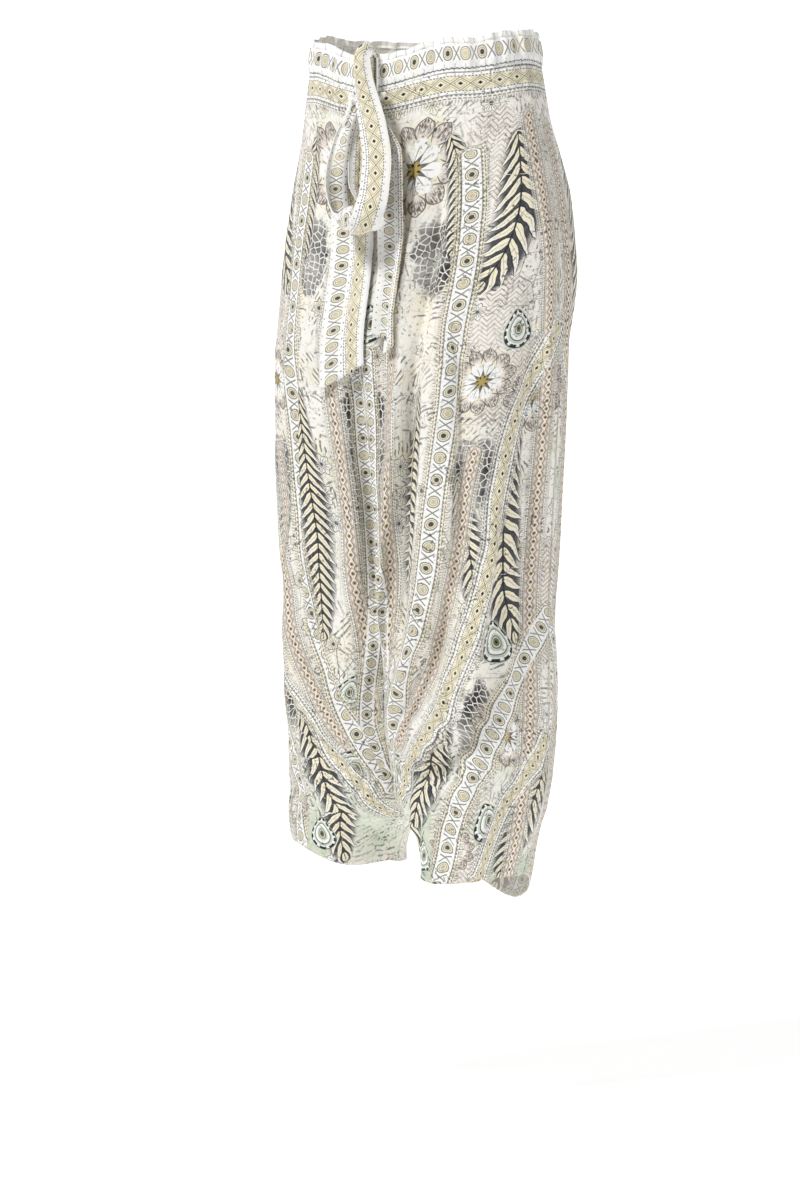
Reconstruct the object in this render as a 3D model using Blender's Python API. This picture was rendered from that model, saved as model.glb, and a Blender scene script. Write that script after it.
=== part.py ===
"""Drop-crotch harem pants with a half-bow sash, hollow as if worn, with no wearer inside.

Metres, +Z up. The origin is the middle of the waist opening, where a body holds the garment.
The front faces -Y and the wearer's left is +X. Angles run round the garment from the centre
front (0) over the side seam (90) to the centre back (180), plus on the wearer's left.
"""

import math

import bmesh
import bpy
import numpy as np

CLOTH_WALL = 0.0012
BAND_WALL = 0.0016
SEAM_GAP = 0.0004
NEAR = 1e-6

# How far down the side seam each landmark lies, from the waist seam
SADDLE_TOP = 0.770
CROTCH = 0.800
HEM = 0.844

CROTCH_HEIGHT = -0.811
INSEAM_HEM_HEIGHT = -0.858
INSEAM_HALF_GAP = 0.034
POINTED_INSEAM = 0.35
# The legs part along their inner sides at the crotch, within this many radians of the centre;
# further round they part slowly, from here down to the hem
INNER_REACH = 0.95
PARTING_START = 0.70
PARTED_OUTSIDE = 0.80
# The right leg's outer side is hitched up towards the hem
RIGHT_HEM_LIFT = 0.031
LIFT_START = 0.60
# and stands out a little there
RIGHT_HEM_FLARE = 0.010
FLARE_START = 0.755

# One row for each section of the trouser body: how far down the side it lies, its height at the
# centre front, front of the leg, side, back of the leg and centre back, its half width, how far
# it reaches forward and back, and how far it has parted into two legs (0 one tube, 1 two)
SECTION_COLUMNS = (
    "down", "centre_front", "front", "side", "back", "centre_back",
    "half_width", "forward", "backward", "parted",
)
SECTIONS = (
    (0.000, -0.0445, -0.0260, -0.0160, -0.0220, -0.0265, 0.1345, 0.0950, 0.1000, 0.00),
    (0.055, -0.0860, -0.0770, -0.0710, -0.0730, -0.0750, 0.1460, 0.0910, 0.1040, 0.00),
    (0.097, -0.1220, -0.1165, -0.1130, -0.1140, -0.1150, 0.1550, 0.0850, 0.1210, 0.00),
    (0.139, -0.1610, -0.1570, -0.1550, -0.1555, -0.1560, 0.1640, 0.0870, 0.1360, 0.00),
    (0.182, -0.2020, -0.1995, -0.1980, -0.1980, -0.1985, 0.1710, 0.0940, 0.1340, 0.00),
    (0.224, -0.2425, -0.2410, -0.2400, -0.2400, -0.2400, 0.1740, 0.1020, 0.1300, 0.02),
    (0.309, -0.3250, -0.3250, -0.3250, -0.3250, -0.3250, 0.1730, 0.1200, 0.1030, 0.08),
    (0.394, -0.4100, -0.4100, -0.4100, -0.4105, -0.4110, 0.1670, 0.1210, 0.0910, 0.18),
    (0.479, -0.4950, -0.4950, -0.4950, -0.4960, -0.4970, 0.1620, 0.1180, 0.0880, 0.28),
    (0.564, -0.5800, -0.5800, -0.5800, -0.5820, -0.5840, 0.1570, 0.1130, 0.0850, 0.34),
    (0.649, -0.6640, -0.6640, -0.6650, -0.6680, -0.6700, 0.1580, 0.1130, 0.0930, 0.40),
    (0.733, -0.7440, -0.7460, -0.7490, -0.7560, -0.7520, 0.1520, 0.1060, 0.0880, 0.46),
    (0.770, -0.7780, -0.7830, -0.7860, -0.7970, -0.7860, 0.1460, 0.1050, 0.0810, 0.48),
    (0.800, -0.8110, -0.8120, -0.8160, -0.8340, -0.8110, 0.1410, 0.0970, 0.0615, 1.00),
    (0.844, -0.8580, -0.8690, -0.8640, -0.8950, -0.8580, 0.1300, 0.0975, 0.0470, 1.00),
)

# One row for each fold: where it starts, bends and ends (metres down the side, degrees round),
# how far it stands out (minus for a trough) and its half width in millimetres, and which side of
# its crest is the steep one (+1 the larger angle, -1 the smaller, 0 neither)
FOLD_COLUMNS = (
    "name", "start_down", "start_angle", "bend_down", "bend_angle", "end_down", "end_angle",
    "height_mm", "width_mm", "steep",
)
FOLDS = (
    ("deep centre trough", 0.08, 30, 0.30, 23, 0.66, 15, -13, 9, 0.0),
    ("trough beside the sash", 0.02, 9, 0.15, 10, 0.36, 14, -7, 9, 0.0),
    ("narrow centre pleat", 0.05, 17, 0.20, 17, 0.33, 19, 7, 9, 0.0),
    ("trough under the sash ends", 0.24, 9, 0.33, 10, 0.44, 9, -8, 9, 0.0),
    ("centre roll", 0.27, 17, 0.42, 13, 0.66, -6, 12, 13, 0.5),
    ("left outer roll", 0.22, 28, 0.47, 39, 0.745, 2, 11, 19, 0.5),
    ("left outer roll shadow", 0.28, 39, 0.50, 46, 0.72, 22, -5, 12, 0.0),
    ("left thigh crest", 0.30, 52, 0.46, 52, 0.64, 50, 4, 20, 0.0),
    ("left inner roll", 0.42, 31, 0.57, 29, 0.735, 1, 7, 13, 0.4),
    ("left drape edge", 0.44, 60, 0.64, 50, 0.765, 2, 12, 17, 0.5),
    ("left drape shadow", 0.52, 68, 0.68, 60, 0.788, 10, -8, 14, 0.0),
    ("right centre trough", 0.28, -4, 0.45, -3, 0.64, -9, -10, 10, 0.0),
    ("right narrow roll", 0.26, -9, 0.46, -9, 0.68, -12, 7, 11, 0.3),
    ("right pleat line", 0.36, -17, 0.50, -16, 0.68, -16, -5, 8, 0.0),
    ("right outer roll", 0.20, -20, 0.50, -27, 0.745, -2, 10, 17, -0.5),
    ("right outer roll shadow", 0.26, -32, 0.52, -37, 0.72, -20, -4, 12, 0.0),
    ("right inner roll", 0.48, -19, 0.60, -19, 0.735, -1, 6, 12, -0.4),
    ("right drape edge", 0.46, -47, 0.63, -41, 0.765, -2, 9, 15, -0.5),
    ("right drape shadow", 0.52, -58, 0.67, -51, 0.788, -10, -5, 12, 0.0),
    ("crotch crease", 0.745, 0, 0.765, 0, 0.790, 0, -5, 6, 0.0),
    ("left thigh trough", 0.46, 63, 0.60, 66, 0.84, 62, -3, 16, 0.0),
    ("left side trough", 0.20, 71, 0.48, 78, 0.86, 74, -8, 13, 0.0),
    ("left side crest", 0.28, 91, 0.50, 92, 0.86, 88, 6, 17, 0.0),
    ("left shin trough", 0.66, 46, 0.76, 48, 0.86, 50, -4, 13, 0.0),
    ("right thigh crest", 0.24, -58, 0.42, -60, 0.62, -58, 3, 20, 0.0),
    ("right side trough", 0.22, -75, 0.50, -80, 0.86, -76, -7, 14, 0.0),
    ("right side crest", 0.30, -92, 0.52, -93, 0.86, -90, 5, 17, 0.0),
    ("right shin trough", 0.64, -50, 0.76, -52, 0.86, -54, -4, 13, 0.0),
    ("left seat drape", 0.26, 140, 0.52, 138, 0.745, 174, 9, 16, -0.6),
    ("left seat shadow", 0.32, 128, 0.55, 126, 0.75, 160, -6, 13, 0.0),
    ("left inner seat drape", 0.36, 157, 0.56, 153, 0.72, 176, 7, 12, -0.5),
    ("right seat drape", 0.26, -140, 0.52, -138, 0.745, -174, 9, 16, 0.6),
    ("right seat shadow", 0.32, -128, 0.55, -126, 0.75, -160, -6, 13, 0.0),
    ("right inner seat drape", 0.36, -157, 0.56, -153, 0.72, -176, 7, 12, 0.5),
    ("left back trough", 0.20, 112, 0.50, 116, 0.86, 112, -6, 15, 0.0),
    ("right back trough", 0.20, -112, 0.50, -116, 0.86, -112, -6, 15, 0.0),
    ("left calf crest", 0.55, 134, 0.70, 134, 0.86, 136, 4, 16, 0.0),
    ("right calf crest", 0.55, -134, 0.70, -134, 0.86, -136, 4, 16, 0.0),
)
# The steep side of a fold narrows by this share of its steepness
STEEP_NARROWING = 0.6
FOLD_FADE_SHARE = 0.22
FOLD_FADE_MOST = 0.10
MOST_SLANT = 2.5
# Folds die out here, so that the crotch and the inseams stay clear of each other
CALM_START = 0.735
CALM_FULL = 0.785
CALM_REACH = 0.045
# Within this reach of the centre front and back, folds stand out straight forward or back, so
# that the two halves stay on their own sides
STRAIGHT_REACH = 0.035

# One row for each ring of the waistband: name, how far above the waist seam at the side, centre
# front and centre back, how much it draws in from the seam's ring, and its gather waves' share
BAND_RINGS = (
    ("seam", 0.0002, 0.0002, 0.0002, 0.0000, 0.00),
    ("low casing", 0.0120, 0.0120, 0.0125, 0.0012, 0.35),
    ("high casing", 0.0270, 0.0275, 0.0300, 0.0035, 0.55),
    ("heading", 0.0355, 0.0365, 0.0400, 0.0055, 1.00),
)
GATHERS = 30
GATHER_DEPTH = 0.0011
# A second, slower wave makes the gathers uneven: its share of the depth, its pace and its start
UNEVEN = (0.45, 0.53, 1.3)
EDGE_DIP = 0.0007

DENSE_HALF = 361
FRONT_CROWDED_TO = 58.0
FRONT_CROWDED_COLUMNS = 24
FRONT_PLAIN_COLUMNS = 5
BACK_COLUMNS = 12
BODY_ROWS = 30
SADDLE_ROWS = 4
LEG_ROWS = 3
BAND_COLUMNS = 60

CLOTH_COLOUR = (0.80, 0.78, 0.70)
BAND_COLOUR = (0.82, 0.81, 0.76)
SASH_COLOUR = (0.84, 0.83, 0.77)
CLOTH_ROUGHNESS = 0.75
SHARP_EDGE = 50

# The chart of the front that the sash ends lie on: cells in x and z, their size, the height of
# its top, how far down the side it is read, and the value of a cell that nothing reaches
CHART_CELLS = (38, 84)
CHART_CELL = (0.004, 0.005)
CHART_TOP = 0.0
CHART_DOWN_TO = 0.46
CHART_ROWS = 150
CHART_EMPTY = 9.0

# The sash: a flat tie 55 mm wide, knotted at the centre front with one loop and two ends
SASH_WALL = 0.0012
SASH_CLEARANCE = 0.0022
SASH_COLUMNS = 6
SASH_STEPS = 18
SASH_SPREAD_BY = 0.080
# How fast a sash end's ripples turn over its half width, along each metre, and between the ends
RIPPLE_ACROSS = 3.4
RIPPLE_ALONG = 22
RIPPLE_OFFSET = 60
# One row for each hanging end: how far its top lies behind the knot's middle, its middle (x) at
# the top, when spread and at its tip, its half width at the top and when spread, the height of
# its tip's two corners, and how deep it ripples
SASH_END_COLUMNS = (
    "name", "behind", "x_top", "x_spread", "x_tip", "half_top", "half_spread",
    "tip_left", "tip_right", "ripple",
)
SASH_ENDS = (
    ("sash_end_right", 0.0042, 0.0035, -0.0170, -0.0175, 0.0090, 0.0275, -0.357, -0.329, 0.0016),
    ("sash_end_left", 0.0016, 0.0055, 0.0300, 0.0330, 0.0085, 0.0185, -0.297, -0.318, 0.0028),
)
# The loop's route from under the knot, down in front, round and up behind: x, how far it lies
# in front of the knot's middle, z, and how far its width is turned away from facing forward
LOOP_ROUTE = (
    (0.0055, 0.0046, -0.0469, 15.0),
    (0.0160, 0.0130, -0.0850, 20.0),
    (0.0250, 0.0220, -0.1250, 30.0),
    (0.0220, 0.0290, -0.1600, 45.0),
    (0.0120, 0.0270, -0.1790, 60.0),
    (0.0000, 0.0200, -0.1800, 60.0),
    (-0.0110, 0.0140, -0.1650, 45.0),
    (-0.0180, 0.0115, -0.1380, 25.0),
    (-0.0150, 0.0080, -0.0950, 15.0),
    (0.0045, 0.0015, -0.0469, 10.0),
)
LOOP_STEPS = 34
LOOP_LEVEL_SHARE = 0.10
LOOP_HALF_WIDTHS = (0.0085, 0.0155, 0.0165, 0.0145, 0.0080)
KNOT_X = 0.0045
KNOT_TOP = -0.0095
KNOT_FOOT = -0.0465
KNOT_HALF_WIDTH = 0.0098
KNOT_HALF_DEPTH = 0.0062
# The knot's sections: height as a share from foot to top, and size
KNOT_SECTIONS = ((0.0, 0.96), (0.35, 1.06), (0.80, 1.00), (0.94, 0.86), (1.0, 0.62))
KNOT_SIDES = 20
KNOT_CREASES = 3
KNOT_CREASE_DEPTH = 0.0008


def smooth(x, stations, values):
    """A monotone cubic through the stations, which never swings past its values."""
    stations, values = np.asarray(stations, float), np.asarray(values, float)
    steps = np.diff(stations)
    slopes = np.diff(values) / steps
    tangents = np.zeros_like(values)
    tangents[0], tangents[-1] = slopes[0], slopes[-1]
    for i in range(1, len(stations) - 1):
        if slopes[i - 1] * slopes[i] > 0:
            before, after = 2 * steps[i] + steps[i - 1], steps[i] + 2 * steps[i - 1]
            tangents[i] = (before + after) / (before / slopes[i - 1] + after / slopes[i])
    x = np.clip(x, stations[0], stations[-1])
    i = np.clip(np.searchsorted(stations, x) - 1, 0, len(stations) - 2)
    t = (x - stations[i]) / steps[i]
    return (
        (2 * t**3 - 3 * t**2 + 1) * values[i]
        + (t**3 - 2 * t**2 + t) * steps[i] * tangents[i]
        + (-2 * t**3 + 3 * t**2) * values[i + 1]
        + (t**3 - t**2) * steps[i] * tangents[i + 1]
    )


def ease(t):
    """0 below 0 and 1 above 1, with a smooth step between."""
    t = np.clip(t, 0.0, 1.0)
    return t * t * (3 - 2 * t)


def section_values(down):
    """The section table's columns at these distances down the side, by name."""
    rows = np.array(SECTIONS)
    values = {
        name: smooth(down, rows[:, 0], rows[:, k])
        for k, name in enumerate(SECTION_COLUMNS)
        if k
    }
    rounding = np.clip((down - SADDLE_TOP) / (CROTCH - SADDLE_TOP), 0, 1) * math.pi / 2
    saddle_top = {name: rows[-3, k] for k, name in enumerate(SECTION_COLUMNS)}
    in_saddle = (down > SADDLE_TOP) & (down < CROTCH)
    arched = 1 - (1 - saddle_top["parted"]) * np.cos(rounding)
    values["parted"] = np.where(in_saddle, arched, values["parted"])
    leg = np.clip((down - CROTCH) / (HEM - CROTCH), 0, 1) * math.pi / 2
    inseam = CROTCH_HEIGHT + (INSEAM_HEM_HEIGHT - CROTCH_HEIGHT) * (1 - np.cos(leg))
    for name in ("centre_front", "centre_back"):
        top = saddle_top[name]
        bowl = top + (CROTCH_HEIGHT - top) * np.sin(rounding)
        values[name] = np.where(in_saddle, bowl, values[name])
        values[name] = np.where(down >= CROTCH, inseam, values[name])
    whole = smooth(down, rows[:, 0], rows[:, -1])
    first = smooth(np.array([PARTING_START]), rows[:, 0], rows[:, -1])[0]
    parting = first + (PARTED_OUTSIDE - first) * ease((down - PARTING_START) / (HEM - PARTING_START))
    values["outside"] = np.where(down < PARTING_START, whole, parting)
    values["inseam_x"] = INSEAM_HALF_GAP * np.sin(leg)
    values["pointed"] = POINTED_INSEAM * np.cos(leg)
    return values


def base_half(down, side):
    """One half of the body with no folds: points for each distance down and each angle from the
    centre front (0) to the centre back (180). side is +1 for the wearer's left."""
    angles = np.radians(np.linspace(0, 180, DENSE_HALF))[None, :]
    v = {name: value[:, None] for name, value in section_values(np.asarray(down)).items()}
    sine, cosine = np.sin(angles), np.cos(angles)
    outer = ease(np.minimum(angles, math.pi - angles) / INNER_REACH)
    parted = v["parted"] * (1 - outer) + v["outside"] * outer
    pointed = v["pointed"]
    leg_x = (1 - pointed) * sine**2 + pointed * sine
    x = v["inseam_x"] + (v["half_width"] - v["inseam_x"]) * (
        (1 - parted) * sine + parted * leg_x
    )
    reach = np.where(cosine > 0, v["forward"], v["backward"])
    y = -reach * ((1 - parted) * cosine + parted * np.sin(2 * angles))
    heights = [v[name] for name in SECTION_COLUMNS[1:6]]
    quarter = math.pi / 4
    z = heights[0] + 0 * angles
    for k in range(4):
        z = z + (heights[k + 1] - heights[k]) * ease((angles - k * quarter) / quarter)
    if side < 0:
        flare = ease((np.asarray(down)[:, None] - FLARE_START) / (HEM - FLARE_START))
        x = x + RIGHT_HEM_FLARE * flare * sine**2
        low = ease((np.asarray(down)[:, None] - LIFT_START) / (HEM - LIFT_START))
        z = z + RIGHT_HEM_LIFT * low * ease((angles - 0.25) / 0.65) * ease((math.pi - angles) / 0.9)
    return np.stack(np.broadcast_arrays(side * x, y, z), axis=-1)


def along_rows(points):
    """Distance along each row of points from its first one."""
    steps = np.linalg.norm(np.diff(points, axis=1), axis=2)
    return np.concatenate([np.zeros((len(points), 1)), np.cumsum(steps, axis=1)], axis=1)


def leg_shifts(down, degrees, lengths):
    """How much longer each row is from the centre front to the side seam than the row at the
    saddle's top, below which the inner edge turns in under the crotch."""
    side = np.argmin(np.abs(degrees - 90))
    top = np.argmin(np.abs(down - SADDLE_TOP))
    return {
        hand: hand * np.where(down > SADDLE_TOP, rows[:, side] - rows[top, side], 0)
        for hand, rows in lengths.items()
    }


def fold_relief(down, side, lengths):
    """How far the folds move each point of a half out along its normal. lengths gives each
    half's distances along its rows from the centre front."""
    down = np.asarray(down)
    degrees = np.linspace(0, 180, DENSE_HALF)
    place = side * lengths[side]
    girth = lengths[1][:, -1:] + lengths[-1][:, -1:]
    shifts = leg_shifts(down, degrees, lengths)
    relief = np.zeros_like(place)
    for row in FOLDS:
        fold = dict(zip(FOLD_COLUMNS, row))
        ends = fold["start_down"], fold["bend_down"], fold["end_down"]
        turns = fold["start_angle"], fold["bend_angle"], fold["end_angle"]
        path = smooth(down, ends, turns)
        crest = np.array([
            math.copysign(np.interp(abs(turn), degrees, lengths[-1 if turn < 0 else 1][i]), turn)
            for i, turn in enumerate(path)
        ])
        level = crest - np.array([shifts[int(math.copysign(1, turn))][i] for i, turn in enumerate(path)])
        slant = np.minimum(np.sqrt(1 + np.gradient(level, down) ** 2), MOST_SLANT)[:, None]
        off = (place - crest[:, None] + girth / 2) % girth - girth / 2
        steep = fold["steep"]
        narrowing = np.where(off * steep > 0, 1 - STEEP_NARROWING * abs(steep), 1 + abs(steep))
        bump = np.exp(-((off / (fold["width_mm"] / 1000 * slant * narrowing)) ** 2))
        fade = min(FOLD_FADE_SHARE * (ends[2] - ends[0]), FOLD_FADE_MOST)
        share = ease((down - ends[0]) / fade) * ease((ends[2] - down) / fade)
        relief += share[:, None] * fold["height_mm"] / 1000 * bump
    to_centre = np.minimum(lengths[side], lengths[side][:, -1:] - lengths[side]) / CALM_REACH
    calm = ease((down - CALM_START) / (CALM_FULL - CALM_START))[:, None] * (1 - ease(to_centre))
    return relief * (1 - calm)


def unit(vectors):
    return vectors / np.maximum(np.linalg.norm(vectors, axis=-1, keepdims=True), 1e-12)


def outward_normals(points):
    """Unit normals of a grid by differences along its rows and columns."""
    return unit(np.cross(np.gradient(points, axis=0), np.gradient(points, axis=1)))


def joined_normals(down, halves):
    """Outward normals of both halves, made the same wherever their edges meet."""
    normals = {side: side * outward_normals(points) for side, points in halves.items()}
    left, right = normals[1], normals[-1]
    for row, place in enumerate(down):
        if place < CROTCH - NEAR:
            for end in (0, -1):
                left[row, end] = right[row, end] = unit(left[row, end] + right[row, end])
        for half in (left, right):
            if place > CROTCH + NEAR:
                half[row, 0] = half[row, -1] = unit(half[row, 0] + half[row, -1])
            elif place > CROTCH - NEAR:
                half[row, 0] = half[row, -1] = (0, 0, -1)
    return normals


def cloth_halves(down):
    """The middle of the cloth with its folds: {side: (points, outward normals)}."""
    bases = {side: base_half(down, side) for side in (1, -1)}
    lengths = {side: along_rows(base) for side, base in bases.items()}
    smooth_normals = joined_normals(down, bases)
    points = {}
    for side, base in bases.items():
        relief = fold_relief(down, side, lengths)
        to_centre = np.minimum(lengths[side], lengths[side][:, -1:] - lengths[side])
        ways = smooth_normals[side].copy()
        ways[:, :, 0] *= ease(to_centre / STRAIGHT_REACH)
        points[side] = base + unit(ways) * relief[:, :, None]
    normals = joined_normals(down, points)
    for half in normals.values():
        half[0] = unit(half[0] * (1, 1, 0))
    return {side: (points[side], normals[side]) for side in points}


def wall(name, middle, normals, thickness, colour):
    """A closed cloth wall round a grid of middle points, as one object."""
    rows, columns = middle.shape[:2]
    outer = middle + normals * thickness / 2
    inner = middle - normals * thickness / 2
    points = np.concatenate([outer.reshape(-1, 3), inner.reshape(-1, 3)])
    grid = np.arange(rows * columns).reshape(rows, columns)
    back = rows * columns
    faces = []
    for i in range(rows - 1):
        for j in range(columns - 1):
            a, b, c, d = grid[i, j], grid[i, j + 1], grid[i + 1, j + 1], grid[i + 1, j]
            faces.append((a, d, c, b))
            faces.append((a + back, b + back, c + back, d + back))
    rim = [*grid[0], *grid[1:, -1], *grid[-1, -2::-1], *grid[-2:0:-1, 0]]
    for a, b in zip(rim, rim[1:] + rim[:1]):
        faces.append((a, b, b + back, a + back))
    mesh = bpy.data.meshes.new(name)
    mesh.from_pydata(points.tolist(), [], [tuple(map(int, face)) for face in faces])
    finish(name, mesh, colour)


def finish(name, mesh, colour):
    """An object from a closed mesh, its faces turned outward, smooth, with its own material."""
    work = bmesh.new()
    work.from_mesh(mesh)
    bmesh.ops.recalc_face_normals(work, faces=work.faces)
    work.to_mesh(mesh)
    work.free()
    mesh.shade_smooth()
    mesh.set_sharp_from_angle(angle=math.radians(SHARP_EDGE))
    part = bpy.data.objects.new(name, mesh)
    bpy.context.scene.collection.objects.link(part)
    material = bpy.data.materials.new(name)
    material.use_nodes = True
    shader = material.node_tree.nodes["Principled BSDF"]
    shader.inputs["Base Color"].default_value = (*colour, 1)
    shader.inputs["Roughness"].default_value = CLOTH_ROUGHNESS
    shader.inputs["Metallic"].default_value = 0.0
    mesh.materials.append(material)


def sampled(grid, degrees):
    """A dense half grid read at these angles."""
    at = np.asarray(degrees) / 180 * (DENSE_HALF - 1)
    low = np.clip(at.astype(int), 0, DENSE_HALF - 2)
    share = (at - low)[None, :, None]
    return grid[:, low] * (1 - share) + grid[:, low + 1] * share


def seam_edges(middle, normals, down, side, front):
    """Draws a panel's two long edges back from their seams by half the gap."""
    for edge, inward in ((0, 1), (-1, -2)):
        line = np.gradient(middle[:, edge], axis=0)
        across = unit(np.cross(normals[:, edge], line))
        towards = np.sum(across * (middle[:, inward] - middle[:, edge]), axis=1, keepdims=True)
        middle[:, edge] += across * np.sign(towards) * SEAM_GAP / 2
    centre_edge = 0 if front else -1
    for row, place in enumerate(down):
        if abs(place - CROTCH) < NEAR:
            forward = -1 if front else 1
            half = SEAM_GAP / 2
            middle[row, centre_edge] = (side * half, forward * half, CROTCH_HEIGHT)


def body_rows():
    """Distances down the side for the panels' rows, closer together towards the crotch."""
    upper = np.linspace(0, 1, BODY_ROWS + 1)
    upper = SEAM_GAP / 2 + (SADDLE_TOP - SEAM_GAP / 2) * upper * (1.45 - 0.45 * upper)
    saddle = np.linspace(SADDLE_TOP, CROTCH, SADDLE_ROWS + 1)[1:]
    leg = np.linspace(CROTCH, HEM, LEG_ROWS + 1)[1:]
    return np.concatenate([upper, saddle, leg])


def front_angles():
    crowded = np.linspace(0, FRONT_CROWDED_TO, FRONT_CROWDED_COLUMNS + 1)
    plain = np.linspace(FRONT_CROWDED_TO, 90, FRONT_PLAIN_COLUMNS + 1)[1:]
    return np.concatenate([crowded, plain])


def panels():
    """The four panels that a maker would cut: two fronts and two backs."""
    down = body_rows()
    halves = cloth_halves(down)
    cuts = (("front", front_angles(), True), ("back", np.linspace(90, 180, BACK_COLUMNS + 1), False))
    for side, hand in ((1, "left"), (-1, "right")):
        for cut, degrees, front in cuts:
            middle = sampled(halves[side][0], degrees)
            normals = unit(sampled(halves[side][1], degrees))
            seam_edges(middle, normals, down, side, front)
            name = f"{cut}_{hand}"
            wall(name, middle, normals, CLOTH_WALL, CLOTH_COLOUR)


def band_points(side):
    """The waistband's half: a ring for each row of its table, with the gathers along its top."""
    half_ring = base_half(np.array([0.0]), side)[0]
    degrees = np.linspace(0, 180, DENSE_HALF)
    share_front = ease((90 - degrees) / 90)
    share_back = ease((degrees - 90) / 90)
    outward = unit(half_ring * (1, 1, 0))
    rows = []
    for _, at_side, at_front, at_back, draw_in, waves in BAND_RINGS:
        rise = at_side + (at_front - at_side) * share_front + (at_back - at_side) * share_back
        turns = np.radians(degrees) * side * GATHERS
        slow = np.sin(turns * UNEVEN[1] + UNEVEN[2])
        out = waves * GATHER_DEPTH * (np.sin(turns) + UNEVEN[0] * slow) - draw_in
        ring = half_ring + outward * out[:, None]
        ring[:, 2] += rise + waves * EDGE_DIP * slow
        rows.append(ring)
    return np.array(rows)


def waistband():
    """The waistband's two pieces, front and back, joined at the side seams."""
    left, right = band_points(1), band_points(-1)
    quarter = (DENSE_HALF - 1) // 2
    front = np.concatenate([right[:, quarter:0:-1], left[:, : quarter + 1]], axis=1)
    back = np.concatenate([left[:, quarter:], right[:, -2 : quarter - 1 : -1]], axis=1)
    for name, ring in (("waistband_front", front), ("waistband_back", back)):
        reach = np.cumsum(np.linalg.norm(np.diff(ring[0], axis=0), axis=1))
        reach = np.concatenate([[0], reach])
        at = np.linspace(SEAM_GAP / 2, reach[-1] - SEAM_GAP / 2, BAND_COLUMNS + 1)
        middle = np.stack(
            [[np.interp(at, reach, row[:, k]) for k in range(3)] for row in ring]
        ).transpose(0, 2, 1)
        normals = outward_normals(middle)
        normals *= np.sign(np.sum(normals * middle * (1, 1, 0), axis=2, keepdims=True))
        normals[0] = unit(normals[0] * (1, 1, 0))
        wall(name, middle, normals, BAND_WALL, BAND_COLOUR)


def front_face():
    """A chart of how far forward the cloth reaches over the middle of the front, as a function
    of x and z."""
    halves = cloth_halves(np.linspace(0.001, CHART_DOWN_TO, CHART_ROWS))
    low = np.array([-CHART_CELLS[0] * CHART_CELL[0] / 2, CHART_TOP - CHART_CELLS[1] * CHART_CELL[1]])
    chart = np.full(CHART_CELLS, CHART_EMPTY)
    for points, _ in halves.values():
        near = points[:, : DENSE_HALF // 2].reshape(-1, 3)
        at = np.floor((near[:, (0, 2)] - low) / CHART_CELL).astype(int)
        inside = np.all((at >= 0) & (at < chart.shape), axis=1)
        np.minimum.at(chart, (at[inside, 0], at[inside, 1]), near[inside, 1])
    for blend in (np.min, np.mean, np.mean, np.mean):
        padded = np.pad(chart, 1, mode="edge")
        wide, tall = chart.shape
        around = [padded[i : i + wide, j : j + tall] for i in range(3) for j in range(3)]
        chart = blend(around, axis=0)

    def reach(x, z):
        place = (np.stack([x, z], axis=-1) - low) / CHART_CELL - 0.5
        place = np.clip(place, 0, np.array(chart.shape) - 1.001)
        i, j = place[..., 0].astype(int), place[..., 1].astype(int)
        u, v = place[..., 0] - i, place[..., 1] - j
        return (
            chart[i, j] * (1 - u) * (1 - v)
            + chart[i + 1, j] * u * (1 - v)
            + chart[i, j + 1] * (1 - u) * v
            + chart[i + 1, j + 1] * u * v
        )

    return reach


def knot_middle():
    """How far back the knot's middle lies, which sets it just off the waistband."""
    seat = base_half(np.array([0.0]), 1)[0, 0, 1] - BAND_WALL / 2
    return seat - SEAM_GAP - KNOT_HALF_DEPTH


def sash_end(row, reach):
    """One hanging end of the sash: straight down from the knot, then lying on the cloth, with
    its tip cut on a slant."""
    end = dict(zip(SASH_END_COLUMNS, row))
    across = np.linspace(-1, 1, SASH_COLUMNS + 1)[None, :]
    along = np.linspace(0, 1, SASH_STEPS + 1)[:, None]
    top = KNOT_FOOT - SEAM_GAP
    tip_middle = (end["tip_left"] + end["tip_right"]) / 2
    tip = tip_middle + (end["tip_right"] - end["tip_left"]) / 2 * across
    z = top + (tip - top) * along
    spread = ease((top - z) / SASH_SPREAD_BY)
    low = ease((top - z) / (top - tip_middle))
    half = end["half_top"] + (end["half_spread"] - end["half_top"]) * spread
    x = end["x_top"] + (end["x_spread"] - end["x_top"]) * spread
    x = x + (end["x_tip"] - end["x_spread"]) * low + half * across
    phase = across * RIPPLE_ACROSS + z * RIPPLE_ALONG + end["x_tip"] * RIPPLE_OFFSET
    waves = end["ripple"] * spread * (1 + np.sin(phase)) / 2
    hanging = knot_middle() + end["behind"] + 0 * x
    layer = KNOT_HALF_DEPTH - end["behind"]
    y = np.minimum(hanging, reach(x, z) - SASH_CLEARANCE - layer * (1 - 0.6 * spread)) - waves
    middle = np.stack(np.broadcast_arrays(x, y, z), axis=-1)
    wall(end["name"], middle, outward_normals(middle), SASH_WALL, SASH_COLOUR)


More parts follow.
